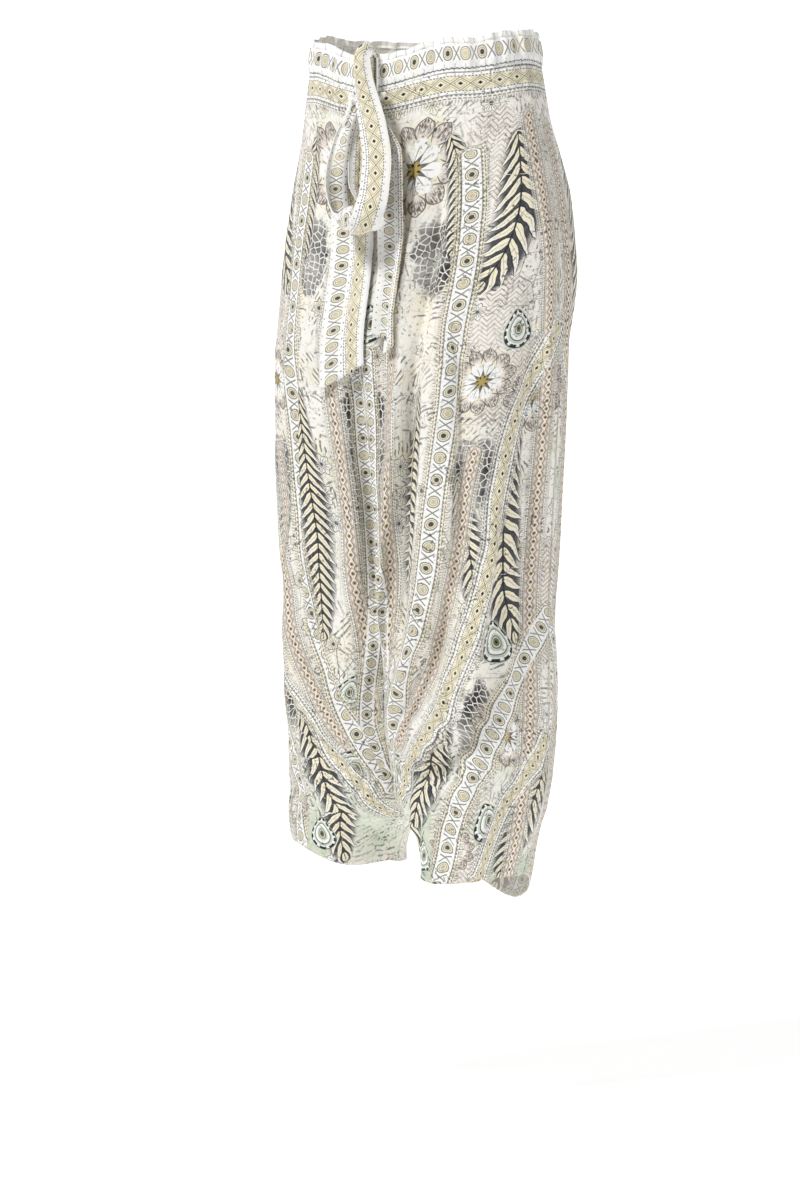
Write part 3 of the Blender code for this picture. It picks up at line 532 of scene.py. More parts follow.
def all_degrees():
    """The columns' angles over one half, and how many of them are the front's."""
    crowded = np.linspace(0, FRONT_CROWDED_TO, FRONT_CROWDED_COLUMNS + 1)
    plain = np.linspace(FRONT_CROWDED_TO, 90, FRONT_PLAIN_COLUMNS + 1)[1:]
    back = np.linspace(90, 180, BACK_COLUMNS + 1)[1:]
    return np.concatenate([crowded, plain, back]), len(crowded) + len(plain)


def seam_edges(middle, normals, down, side, front):
    """Draws a panel's two long edges back from their seams."""
    for edge, inward in ((0, 1), (-1, -2)):
        line = np.gradient(middle[:, edge], axis=0)
        across = unit(np.cross(normals[:, edge], line))
        towards = np.sum(across * (middle[:, inward] - middle[:, edge]), axis=1, keepdims=True)
        middle[:, edge] += across * np.sign(towards) * EDGE_BACK
    centre_edge = 0 if front else -1
    for row, place in enumerate(down):
        if abs(place - CROTCH) < NEAR:
            forward = -1 if front else 1
            middle[row, centre_edge] = (side * EDGE_BACK, forward * EDGE_BACK, CROTCH_HEIGHT)


def shell(name, middle, normals, thickness, fields):
    """A closed thin shell round a grid of middle points. fields gives each point's values for
    the material, by name; both faces carry them, and "inner" says which face a point is on."""
    rows, columns = middle.shape[:2]
    half = np.broadcast_to(np.asarray(thickness) / 2, (rows, columns))[:, :, None]
    points = np.concatenate([
        (middle + normals * half).reshape(-1, 3),
        (middle - normals * half).reshape(-1, 3),
    ])
    count = rows * columns
    grid = np.arange(count).reshape(rows, columns)
    a, b, c, d = grid[:-1, :-1], grid[:-1, 1:], grid[1:, 1:], grid[1:, :-1]
    outer = stacked(a, d, c, b).reshape(-1, 4)
    inner = stacked(a, b, c, d).reshape(-1, 4) + count
    rim = np.concatenate([grid[0], grid[1:, -1], grid[-1, -2::-1], grid[-2:0:-1, 0]])
    after = np.roll(rim, -1)
    edge = stacked(rim, after, after + count, rim + count)
    faces = np.concatenate([outer, inner, edge])
    corners = bake_map(faces, rows, columns)
    # The grid's rows may run either way round, so the faces are turned to look outward
    first = points[faces[0]]
    if np.dot(np.cross(first[1] - first[0], first[3] - first[0]), normals[0, 0]) < 0:
        faces, corners = faces[:, ::-1], corners[:, ::-1]
    mesh = bpy.data.meshes.new(name)
    mesh.vertices.add(len(points))
    mesh.loops.add(faces.size)
    mesh.polygons.add(len(faces))
    mesh.vertices.foreach_set("co", points.ravel())
    mesh.loops.foreach_set("vertex_index", np.ascontiguousarray(faces).ravel())
    mesh.polygons.foreach_set("loop_start", np.arange(0, faces.size, 4))
    mesh.update(calc_edges=True)
    write_field(mesh, "inner", np.repeat([0.0, 1.0], count))
    for field, values in fields.items():
        flat = np.asarray(values, float).reshape(count, -1)
        write_field(mesh, field, np.concatenate([flat, flat]))
    layer = mesh.uv_layers.new(name="OFBake")
    layer.data.foreach_set("uv", np.ascontiguousarray(corners).ravel().astype(np.float32))
    mesh.shade_smooth()
    return add(name, mesh)


def write_field(mesh, name, values):
    """Values for the material at each point: one number, or three."""
    three = values.ndim == 2 and values.shape[1] == 3
    field = mesh.attributes.new(name, "FLOAT_VECTOR" if three else "FLOAT", "POINT")
    field.data.foreach_set("vector" if three else "value", values.astype(np.float32).ravel())


def bake_map(faces, rows, columns):
    """The map for baking the finish on: the outer face on the left, the inner face on the
    right, and the rim in a strip above them."""
    across = np.tile(np.linspace(0, 1, columns), rows)
    up = np.repeat(np.linspace(1, 0, rows), columns)
    margin = BAKE_MARGIN
    outer = stacked(margin + (0.5 - 2 * margin) * across, margin + BAKE_TALL * up)
    corners = np.concatenate([outer, outer + (0.5, 0)])[faces]
    rim = corners[2 * (rows - 1) * (columns - 1):]
    place = margin + (1 - 2 * margin) * np.linspace(0, 1, len(rim) + 1)
    for k, (end, low) in enumerate(((0, 0), (1, 0), (1, 1), (0, 1))):
        rim[:, k, 0] = place[end : len(rim) + end]
        rim[:, k, 1] = BAKE_RIM[low]
    return corners


# The print's layout, the same on both halves. Places are (down, angle). First the borders: each
# one's half width in millimetres and its route, for the front and then the back.
BORDERS = {
    "chain": (
        (11.0, ((0.013, 0), (0.013, 90))),
        (9.5, ((0.27, 90), (0.36, 70), (0.48, 60), (0.62, 47), (0.72, 27), (0.79, 6))),
        (8.0, ((0.70, 90), (0.76, 79), (0.81, 71), (0.87, 64))),
        (11.0, ((0.013, 90), (0.013, 180))),
        (9.5, ((0.30, 98), (0.42, 116), (0.56, 128), (0.68, 146), (0.79, 172))),
    ),
    "medallion": (
        (10.0, ((0.09, 44), (0.22, 40), (0.40, 36), (0.54, 31), (0.66, 18), (0.735, 6), (0.768, 0))),
        (8.0, ((0.30, 3), (0.44, 4), (0.58, 5), (0.70, 5), (0.755, 4))),
        (9.0, ((0.57, 90), (0.66, 72), (0.76, 56), (0.86, 44))),
        (10.5, ((0.10, 138), (0.26, 142), (0.44, 146), (0.58, 152), (0.69, 166), (0.77, 180))),
        (8.5, ((0.58, 92), (0.68, 108), (0.77, 124), (0.87, 136))),
    ),
    "lattice": (
        (8.0, ((0.20, 15), (0.36, 12), (0.52, 11), (0.68, 3))),
        (7.0, ((0.40, 52), (0.52, 45), (0.62, 36), (0.71, 17))),
        (7.0, ((0.05, 82), (0.30, 84), (0.60, 82), (0.86, 82))),
        (7.0, ((0.06, 99), (0.30, 98), (0.60, 99), (0.86, 98))),
        (8.0, ((0.22, 168), (0.38, 166), (0.52, 168), (0.68, 176))),
    ),
}
# Fern fronds: each one's half width in millimetres, and its spine
FRONDS = (
    (30.0, ((0.235, 46), (0.19, 58), (0.13, 68), (0.07, 72))),
    (19.0, ((0.20, 34), (0.16, 37), (0.12, 38), (0.07, 36))),
    (20.0, ((0.60, 19), (0.52, 21), (0.44, 23), (0.34, 25))),
    (30.0, ((0.60, 76), (0.53, 68), (0.45, 66), (0.38, 71))),
    (20.0, ((0.56, 52), (0.52, 51), (0.47, 48), (0.43, 44))),
    (24.0, ((0.84, 22), (0.80, 28), (0.74, 34), (0.67, 42))),
    (22.0, ((0.85, 77), (0.81, 81), (0.77, 86), (0.72, 90))),
    (32.0, ((0.30, 120), (0.22, 116), (0.14, 116), (0.07, 122))),
    (30.0, ((0.62, 110), (0.54, 120), (0.46, 128), (0.38, 126))),
    (20.0, ((0.46, 156), (0.38, 153), (0.30, 153), (0.22, 156))),
    (26.0, ((0.85, 150), (0.78, 140), (0.72, 130), (0.66, 120))),
)
# The share of its width that a frond has at its tips, and the powers of its swell between
FROND_TIP = 0.30
FROND_SWELL = (0.8, 0.7)
# Round flowers and teardrops: each one's place, radius in millimetres and turn in degrees
FLOWERS = (
    (0.105, 20, 50, 0), (0.345, 78, 38, 0), (0.33, 52, 34, 0), (0.70, 72, 36, 0),
    (0.815, 52, 24, 0), (0.60, 60, 22, 0), (0.17, 163, 58, 0), (0.40, 168, 34, 0),
    (0.20, 104, 26, 0), (0.73, 112, 40, 0),
)
DROPS = (
    (0.745, 14, 30, 20), (0.60, 66, 24, -20), (0.79, 68, 22, 15), (0.27, 4, 22, 0),
    (0.655, 10, 20, 10), (0.275, 66, 22, 0), (0.825, 32, 18, -10), (0.36, 108, 30, 15),
    (0.70, 172, 26, 0), (0.78, 126, 26, -15), (0.33, 140, 20, 0),
)
# Where each filling pattern is strongest: down, angle and its reach in each
FILLS = {
    "hatch": (
        (0.30, 62, 0.09, 16), (0.10, 62, 0.07, 14), (0.80, 55, 0.06, 16), (0.56, 88, 0.07, 10),
        (0.24, 150, 0.10, 16), (0.56, 165, 0.09, 14), (0.82, 140, 0.05, 16),
    ),
    "scales": (
        (0.47, 6, 0.16, 7), (0.425, 54, 0.040, 17), (0.68, 56, 0.05, 10), (0.20, 28, 0.05, 9),
        (0.36, 135, 0.05, 14), (0.64, 140, 0.06, 10),
    ),
    "crackle": (
        (0.54, 46, 0.09, 12), (0.18, 74, 0.10, 12), (0.66, 12, 0.07, 10), (0.80, 84, 0.06, 14),
        (0.48, 118, 0.10, 14), (0.12, 168, 0.08, 12), (0.74, 160, 0.06, 14),
    ),
}
ROUTE_STEPS = 160
# The distance, in half widths, that stands for no route or round being near
NONE_NEAR = 9.0


class Cut:
    """One half's cut cloth: each grid point's place on the flat cloth, across from the centre
    front or back and down from the waist, for drawing the print's layout on."""

    def __init__(self, down, degrees, points, front_columns):
        self.down, self.degrees = down, degrees
        around = arc(points, 1)
        # Below the saddle's top the inner edge turns in under the crotch, so distances are kept
        # even from the side seam there
        side, top = front_columns - 1, np.argmin(np.abs(down - SADDLE_TOP))
        legs = down > SADDLE_TOP
        from_back = around[:, -1:] - around
        around = around - np.where(legs, around[:, side] - around[top, side], 0)[:, None]
        from_back -= np.where(legs, from_back[:, side] - from_back[top, side], 0)[:, None]
        front = np.arange(points.shape[1])[None, :] < front_columns
        self.across = np.where(front, around, from_back)
        self.below = arc(points, 0)
        self.around = around

    def place(self, down, angle):
        """Where this point is on the flat cloth, measured round from the centre front."""
        row = np.interp(down, self.down, np.arange(len(self.down)))
        column = np.interp(angle, self.degrees, np.arange(len(self.degrees)))
        return np.array([between(grid, row, column) for grid in (self.around, self.below)])

    def along_route(self, route, half):
        """Each grid point's place along a route and distance off it, in half widths."""
        route = np.array(route, float)
        stations = np.linspace(0, 1, len(route))
        steps = np.linspace(0, 1, ROUTE_STEPS)
        downs, angles = (smooth(steps, stations, route[:, k]) for k in (0, 1))
        line = np.array([self.place(*at) for at in zip(downs, angles)])
        ahead = unit(np.gradient(line, axis=0))
        along = arc(line, 0)
        s, d = np.empty_like(self.around), np.empty_like(self.around)
        for i in range(len(self.down)):
            here = stacked(self.around[i], self.below[i])
            gap = here[:, None] - line[None]
            nearest = np.argmin(np.sum(gap**2, axis=2), axis=1)
            gap = gap[np.arange(len(here)), nearest]
            forward = np.sum(gap * ahead[nearest], axis=1)
            aside = gap[:, 0] * ahead[nearest, 1] - gap[:, 1] * ahead[nearest, 0]
            s[i] = along[nearest] + forward
            over = np.maximum(np.maximum(-s[i], s[i] - along[-1]), 0)
            d[i] = np.sign(aside) * np.hypot(aside, over * 2)
        return s / half, d / half, along[-1] / half


def nearest_field(rows, shape):
    """The values of the nearest one at each point. A row is one route's or round's two values
    and how far off it is."""
    best = np.full(shape + (3,), NONE_NEAR)
    for row in rows:
        nearer = row[2] < best[..., 2]
        best[nearer] = stacked(*row)[nearer]
    return best


def print_fields(cut):
    """Every value that the print is drawn from, at each point of one half."""
    shape = cut.around.shape
    fields = {}
    for style, borders in BORDERS.items():
        rows = []
        for half_mm, route in borders:
            s, d, _ = cut.along_route(route, half_mm / 1000)
            rows.append((s, d, np.abs(d)))
        fields[style] = nearest_field(rows, shape)
    rows = []
    for half_mm, route in FRONDS:
        s, d, length = cut.along_route(route, half_mm / 1000)
        swell = np.sin(np.pi * np.clip(s / length, 0, 1) ** FROND_SWELL[0]) ** FROND_SWELL[1]
        taper = FROND_TIP + (1 - FROND_TIP) * swell
        rows.append((s, d / taper, np.abs(d) / taper))
    fields["frond"] = nearest_field(rows, shape)
    for name, table in (("flower", FLOWERS), ("drop", DROPS)):
        rows = []
        for down, angle, radius_mm, turn in table:
            at, radius = cut.place(down, angle), radius_mm / 1000
            x, y = (cut.around - at[0]) / radius, (cut.below - at[1]) / radius
            cosine, sine = math.cos(math.radians(turn)), math.sin(math.radians(turn))
            rows.append((x * cosine - y * sine, x * sine + y * cosine, np.hypot(x, y)))
        fields[name] = nearest_field(rows, shape)
    fills = []
    for patches in FILLS.values():
        strongest = np.zeros(shape)
        for down, angle, reach_down, reach_angle in patches:
            off = ((cut.down[:, None] - down) / reach_down) ** 2
            off = off + ((cut.degrees[None, :] - angle) / reach_angle) ** 2
            strongest = np.maximum(strongest, np.exp(-off))
        fills.append(strongest)
    fields["fill"] = stacked(*fills)
    fields["flat"] = stacked(cut.across, cut.below, cut.below[-1:] - cut.below)
    return fields


def panels():
    """The four panels, {name: piece}, and the two halves of cloth they are cut from."""
    down = body_rows()
    degrees, front_columns = all_degrees()
    halves = cloth_halves(down, degrees)
    made = {}
    for side, hand in ((1, "left"), (-1, "right")):
        points, normals = halves[side]
        cut = Cut(down, degrees, points, front_columns)
        fields = print_fields(cut)
        turned = HEM_EXTRA * 2 * ease((HEM_WIDTH - fields["flat"][..., 2]) / HEM_EDGE)
        spans = {"front": slice(0, front_columns), "back": slice(front_columns - 1, None)}
        for name, span in spans.items():
            middle, outward = points[:, span].copy(), normals[:, span].copy()
            seam_edges(middle, outward, down, side, name == "front")
            parts = {field: values[:, span].copy() for field, values in fields.items()}
            parts["seam"] = to_end(arc(middle, 1))
            key = f"{name}_{hand}"
            made[key] = shell(f"panel_{key}", middle, outward, CLOTH + turned[:, span], parts)
    return made, halves


def band_rings(degrees, side):
    """The waistband's half: a fine stack of rings, with the casing's puff, its two stitch rows
    and the gathers, and each ring's height above the seam."""
    half_ring = base_half(np.array([0.0]), degrees, side)[0]
    share_front = ease((90 - degrees) / 90)
    share_back = ease((degrees - 90) / 90)
    outward = unit(half_ring * (1, 1, 0))
    waves = gather(degrees, side)
    slow = np.sin(np.radians(degrees) * side * GATHERS * EDGE_PACE[0] + EDGE_PACE[1])
    stations = np.linspace(0, 1, len(BAND_RINGS))
    rows, heights = [], []
    for up in np.linspace(0, 1, BAND_ROWS + 1):
        value = columns_at(up, stations, BAND_RING_COLUMNS, BAND_RINGS)
        rise = value["at_side"] + (value["at_front"] - value["at_side"]) * share_front
        rise = rise + (value["at_back"] - value["at_side"]) * share_back
        pull = sum(math.exp(-(((up - row) / STITCH_HALF) ** 2)) for row in STITCH_ROWS)
        puff = math.sin(math.pi * np.clip((up - STITCH_ROWS[0]) / np.diff(STITCH_ROWS)[0], 0, 1))
        out = value["waves"] * GATHER_DEPTH * waves * (1 - STITCH_CALM * min(pull, 1))
        out = out + CASING_PUFF * puff - STITCH_PULL * pull - value["draw_in"]
        ring = half_ring + outward * np.broadcast_to(out, degrees.shape)[:, None]
        ring[:, 2] += rise + up**3 * EDGE_DIP * (slow + EDGE_RIPPLE * waves)
        rows.append(ring)
        heights.append(rise)
    return np.array(rows), np.array(heights)


def waistband():
    """The waistband's two pieces, front and back, joined at the side seams."""
    degrees = np.linspace(0, 180, 2 * BAND_COLUMNS + 1)
    (left, high_left), (right, high_right) = (band_rings(degrees, side) for side in (1, -1))
    quarter = BAND_COLUMNS
    made = {}
    spans = {
        "front": [
            (right, high_right, slice(quarter, 0, -1)),
            (left, high_left, slice(0, quarter + 1)),
        ],
        "back": [
            (left, high_left, slice(quarter, None)),
            (right, high_right, slice(-2, quarter - 1, -1)),
        ],
    }
    for name, parts in spans.items():
        ring = np.concatenate([rows[:, span] for rows, _, span in parts], axis=1)
        high = np.concatenate([heights[:, span] for _, heights, span in parts], axis=1)
        around = arc(ring[:1], 1)[0]
        at = np.linspace(EDGE_BACK, around[-1] - EDGE_BACK, BAND_COLUMNS + 1)
        middle = np.array([stacked(*(np.interp(at, around, axis) for axis in row.T)) for row in ring])
        high = np.array([np.interp(at, around, row) for row in high])
        normals = crossed(middle)
        normals *= np.sign(np.sum(normals * middle * (1, 1, 0), axis=2, keepdims=True))
        normals[0] = unit(normals[0] * (1, 1, 0))
        flat = {"flat": stacked(np.abs(at - at.mean()), high, 0.0)}
        made[name] = shell(f"band_{name}", middle, normals, BAND_CLOTH, flat)
    return made


# The sash: doubled cloth 55 mm wide, pleated small where it is tied and spread where it hangs
SASH_WIDTH = 0.055
SASH_CLOTH = 0.0011
SASH_ACROSS = 60
SASH_ALONG = 124
MOST_SWING = 2.2
SWING_STEPS = 60
TURN_STEPS = 72
# One row for each hanging end: how far its top lies behind the knot's middle, its middle (x) in
# three places, how much of its width shows in two, the heights of its tip's corners, its pleats
# and where they start, and how far its right part turns over, in degrees, beyond which place
# across it, -1 to 1
SASH_END_COLUMNS = (
    "name", "behind", "x_top", "x_spread", "x_tip", "shows_top", "shows_spread",
    "tip_left", "tip_right", "pleats", "start", "right_fold", "right_at",
)
SASH_ENDS = (
    ("end_right", 0.0042, 0.0000, -0.0180, -0.0175, 0.50, 0.965, -0.357, -0.329, 1.5, 0.6, 0, 0.42),
    ("end_left", 0.0016, 0.0060, 0.0330, 0.0365, 0.78, 0.995, -0.297, -0.318, 1.5, 2.4, -172, 0.08),
)
SASH_SPREAD_BY = 0.070
SASH_FOLDED_BY = 0.020
SASH_CLEARANCE = 0.0022
# An end's layers settle by this share as it spreads, and its tip's slant starts this far along
LAYERS_SETTLE = 0.6
SLANT_FROM = 0.3
# The long ribbon of the knot's front and the loop: over the waistband's top edge, down in front,
# on as the loop's front strand, round, and up behind. "forward" is measured from the knot's
# middle. Its turn from facing forward and its left and right parts' folds are in degrees, and
# "left_at" is the place across it, -1 to 1, beyond which the left part turns over.
LOOP_COLUMNS = ("x", "forward", "z", "turn", "shows", "left_fold", "right_fold", "left_at")
LOOP_ROUTE = (
    (0.0045, -0.0020, -0.0125, 0.0, 0.66, -170, 0, -0.06),
    (0.0045, 0.0030, -0.0078, 0.0, 0.66, -170, 0, -0.06),
    (0.0045, 0.0084, -0.0120, 0.0, 0.70, -172, 0, -0.06),
    (0.0060, 0.0090, -0.0300, 4.0, 0.76, -172, 0, -0.06),
    (0.0105, 0.0100, -0.0500, 12.0, 0.84, -172, 0, -0.06),
    (0.0235, 0.0150, -0.0850, 20.0, 0.94, -170, 0, -0.06),
    (0.0340, 0.0230, -0.1250, 26.0, 0.98, -165, 0, -0.06),
    (0.0350, 0.0290, -0.1520, 30.0, 0.98, -155, 0, -0.06),
    (0.0300, 0.0320, -0.1710, 34.0, 0.96, -140, 0, -0.08),
    (0.0200, 0.0300, -0.1830, 38.0, 0.94, -125, 0, -0.12),
    (0.0070, 0.0240, -0.1860, 40.0, 0.92, -110, -10, -0.18),
    (-0.0060, 0.0180, -0.1790, 38.0, 0.88, -100, -30, -0.24),
    (-0.0160, 0.0140, -0.1620, 32.0, 0.82, -90, -60, -0.30),
    (-0.0205, 0.0120, -0.1380, 24.0, 0.74, -80, -85, -0.34),
    (-0.0170, 0.0090, -0.0980, 15.0, 0.56, -40, -80, -0.40),
    (0.0045, 0.0020, -0.0469, 10.0, 0.32, 0, 0, -0.42),
)
LOOP_PLEATS = 1.5
LOOP_PLEATS_START = 1.1
FOLD_SOFT = 0.22
# Where across the sash, -1 to 1, its parts turn over unless a row says so
FOLD_AT = 0.42
KNOT_X = 0.0045
KNOT_TOP = -0.0105
KNOT_FOOT = -0.0465
KNOT_SHOWS = 0.36
KNOT_PLEATS = 2.5
KNOT_HALF_DEPTH = 0.0062
KNOT_SEAT = 0.0012
KNOT_BEHIND = 0.0012
KNOT_ROWS = 39
# A chart of how far forward the cloth reaches over the middle of the front: cells in x and z,
# their size, its top, and the value of a cell that nothing reaches
CHART_CELLS = (46, 92)
CHART_CELL = (0.0034, 0.0045)
CHART_TOP = -0.010
CHART_EMPTY = 9.0
CHART_BLURS = 3


def front_face(halves):
    """How far forward the cloth reaches at each x and z over the middle of the front."""
    low = np.array([-CHART_CELLS[0] * CHART_CELL[0] / 2, CHART_TOP - CHART_CELLS[1] * CHART_CELL[1]])
    chart = np.full(CHART_CELLS, CHART_EMPTY)
    for points, _ in halves.values():
        near = points[:, :FRONT_CROWDED_COLUMNS].reshape(-1, 3)
        at = np.floor((near[:, (0, 2)] - low) / CHART_CELL).astype(int)
        inside = np.all((at >= 0) & (at < chart.shape), axis=1)
        np.minimum.at(chart, (at[inside, 0], at[inside, 1]), near[inside, 1])
    for blend in (np.min,) + CHART_BLURS * (np.mean,):
        padded = np.pad(chart, 1, mode="edge")
        wide, tall = chart.shape
        around = [padded[i : i + wide, j : j + tall] for i in range(3) for j in range(3)]
        chart = blend(around, axis=0)

    def reach(x, z):
        place = (stacked(x, z) - low) / CHART_CELL - 0.5
        place = np.clip(place, 0, np.array(chart.shape) - 1)
        return between(chart, place[..., 0], place[..., 1])

    return reach


def knot_middle():
    """How far back the knot's middle lies, which sets it just off the waistband."""
    seat = base_half(np.array([0.0]), np.array([0.0]), 1)[0, 0, 1] - BAND_CLOTH / 2
    return seat - KNOT_SEAT - KNOT_HALF_DEPTH


def pleated(
    shows, pleats, start, left_fold=0.0, right_fold=0.0, left_at=-FOLD_AT, right_at=FOLD_AT,
):
    """Cross-sections of the sash, one for each value of shows, the share of its width that is
    seen: offsets across and outward at each point across it, whose cloth keeps its width. The
    section's heading swings to and fro in soft pleats and turns over at the two folds."""
    shows = np.atleast_1d(np.asarray(shows, float))[:, None]
    t = np.linspace(-1, 1, SASH_ACROSS + 1)[None, :]
    swings = np.linspace(0, MOST_SWING, SWING_STEPS)
    turn = np.linspace(0, 2 * math.pi, TURN_STEPS + 1)[:-1]
    seen = np.array([np.mean(np.cos(swing * np.sin(turn))) for swing in swings])
    swing = np.interp(-shows, -seen, swings)
    heading = swing * np.sin(math.pi * pleats * t + start)
    left, right, left_at, right_at = (
        np.atleast_1d(np.asarray(value, float))[:, None]
        for value in (left_fold, right_fold, left_at, right_at)
    )
    heading = heading - np.radians(left) * ease((left_at - t) / FOLD_SOFT)
    heading = heading + np.radians(right) * ease((t - right_at) / FOLD_SOFT)
    step = SASH_WIDTH / SASH_ACROSS
    mid = (heading[:, 1:] + heading[:, :-1]) / 2
    across = np.cumsum(np.cos(mid), axis=1) * step
    out = np.cumsum(np.sin(mid), axis=1) * step
    across, out = (np.insert(values, 0, 0, axis=1) for values in (across, out))
    across -= (across.max(axis=1, keepdims=True) + across.min(axis=1, keepdims=True)) / 2
    return across, out - out.mean(axis=1, keepdims=True)


def grid_normals(middle):
    """A strip's normals, turned to look to the front where it starts."""
    normals = crossed(middle)
    return normals if normals[0, :, 1].mean() < 0 else -normals


def sash_fields(middle):
    """The sash's cut: across from its left edge and along from its start."""
    across = np.linspace(0, SASH_WIDTH, middle.shape[1])[None, :]
    along = arc(middle, 0).mean(axis=1)[:, None]
    return {"flat": stacked(across, along, 0.0)}


def sash_end(end, reach):
    """One hanging end: straight down from the knot, then lying on the cloth, its tip cut on a
    slant."""
    s = np.linspace(0, 1, SASH_ALONG + 1)[:, None]
    tip_middle = (end["tip_left"] + end["tip_right"]) / 2
    slant = (end["tip_right"] - end["tip_left"]) / 2 * np.linspace(-1, 1, SASH_ACROSS + 1)
    slant = slant[None, :] * ease((s - SLANT_FROM) / (1 - SLANT_FROM))
    z = KNOT_FOOT + (tip_middle + slant - KNOT_FOOT) * s
    drop = KNOT_FOOT - z.mean(axis=1)
    spread = ease(drop / SASH_SPREAD_BY)
    low = ease(drop / (KNOT_FOOT - tip_middle))
    shows = end["shows_top"] + (end["shows_spread"] - end["shows_top"]) * spread
    turned = end["right_fold"] * ease(drop / SASH_FOLDED_BY)
    across, out = pleated(
        shows, end["pleats"], end["start"], right_fold=turned, right_at=end["right_at"],
    )
    x = end["x_top"] + (end["x_spread"] - end["x_top"]) * spread
    x = (x + (end["x_tip"] - end["x_spread"]) * low)[:, None] + across
    layer = KNOT_HALF_DEPTH - end["behind"]
    lying = reach(x, z) - SASH_CLEARANCE - layer * (1 - LAYERS_SETTLE * spread[:, None])
    hanging = knot_middle() + end["behind"]
    y = np.minimum(hanging, lying) - (out - out.min(axis=1, keepdims=True))
    middle = stacked(x, y, z)
    return shell(end["name"], middle, grid_normals(middle), SASH_CLOTH, sash_fields(middle))


def sash_loop():
    """The ribbon of the knot's front and the loop."""
    lengths = arc(np.array(LOOP_ROUTE)[:, :3], 0)
    along = np.linspace(0, lengths[-1], 2 * SASH_ALONG + 1)
    value = columns_at(along, lengths, LOOP_COLUMNS, LOOP_ROUTE)
    centre = stacked(value["x"], knot_middle() - value["forward"], value["z"])
    ahead = unit(np.gradient(centre, axis=0))
    turn = np.radians(value["turn"])
    width = stacked(np.cos(turn), np.sin(turn), 0.0)
    width = unit(width - ahead * np.sum(width * ahead, axis=1, keepdims=True))
    facing = np.cross(ahead, width)
    across, out = pleated(
        value["shows"], LOOP_PLEATS, LOOP_PLEATS_START, value["left_fold"], value["right_fold"],
        value["left_at"],
    )
    middle = centre[:, None] + width[:, None] * across[..., None] + facing[:, None] * out[..., None]
    return shell("loop", middle, crossed(middle), SASH_CLOTH, sash_fields(middle))


def sash_knot():
    """The gathered cloth of the knot, behind the ribbon that is wrapped over it."""
    z = np.linspace(KNOT_TOP, KNOT_FOOT, KNOT_ROWS + 1)[:, None]
    across, out = pleated(KNOT_SHOWS + 0 * z[:, 0], KNOT_PLEATS, 0.0)
    y = knot_middle() + KNOT_BEHIND - out
    middle = stacked(KNOT_X + across, y, z)
    return shell("knot", middle, grid_normals(middle), SASH_CLOTH, sash_fields(middle))


def linear(code):
    """A colour's linear values from its six-digit code."""
    parts = [int(code[k : k + 2], 16) / 255 for k in (0, 2, 4)]
    return tuple(p / 12.92 if p <= 0.04045 else ((p + 0.055) / 1.055) ** 2.4 for p in parts)


IVORY = linear("F4F1E9")
WHITE = linear("F6F5F2")
CREAM = linear("F0E8CF")
BLUSH = linear("F0E5DD")
SAGE = linear("C6D2BE")
GREEN = linear("B7C9AE")
OLIVE = linear("7E7852")
OCHRE = linear("B09A58")
TAUPE = linear("8F8678")
CHARCOAL = linear("2A2C33")
INKY = linear("4B4942")
LAVENDER = linear("B4B3C0")


class Value:
    """A number that a material's nodes work out, with plain arithmetic."""

    def __init__(self, ink, socket):
        self.ink, self.socket = ink, socket

    def __add__(self, other):
        return self.ink.math("ADD", self, other)

    def __sub__(self, other):
        return self.ink.math("SUBTRACT", self, other)

    def __rsub__(self, other):
        return self.ink.math("SUBTRACT", other, self)

    def __mul__(self, other):
        return self.ink.math("MULTIPLY", self, other)

    def __truediv__(self, other):
        return self.ink.math("DIVIDE", self, other)

    def __abs__(self):
        return self.ink.math("ABSOLUTE", self)

    __radd__, __rmul__ = __add__, __mul__


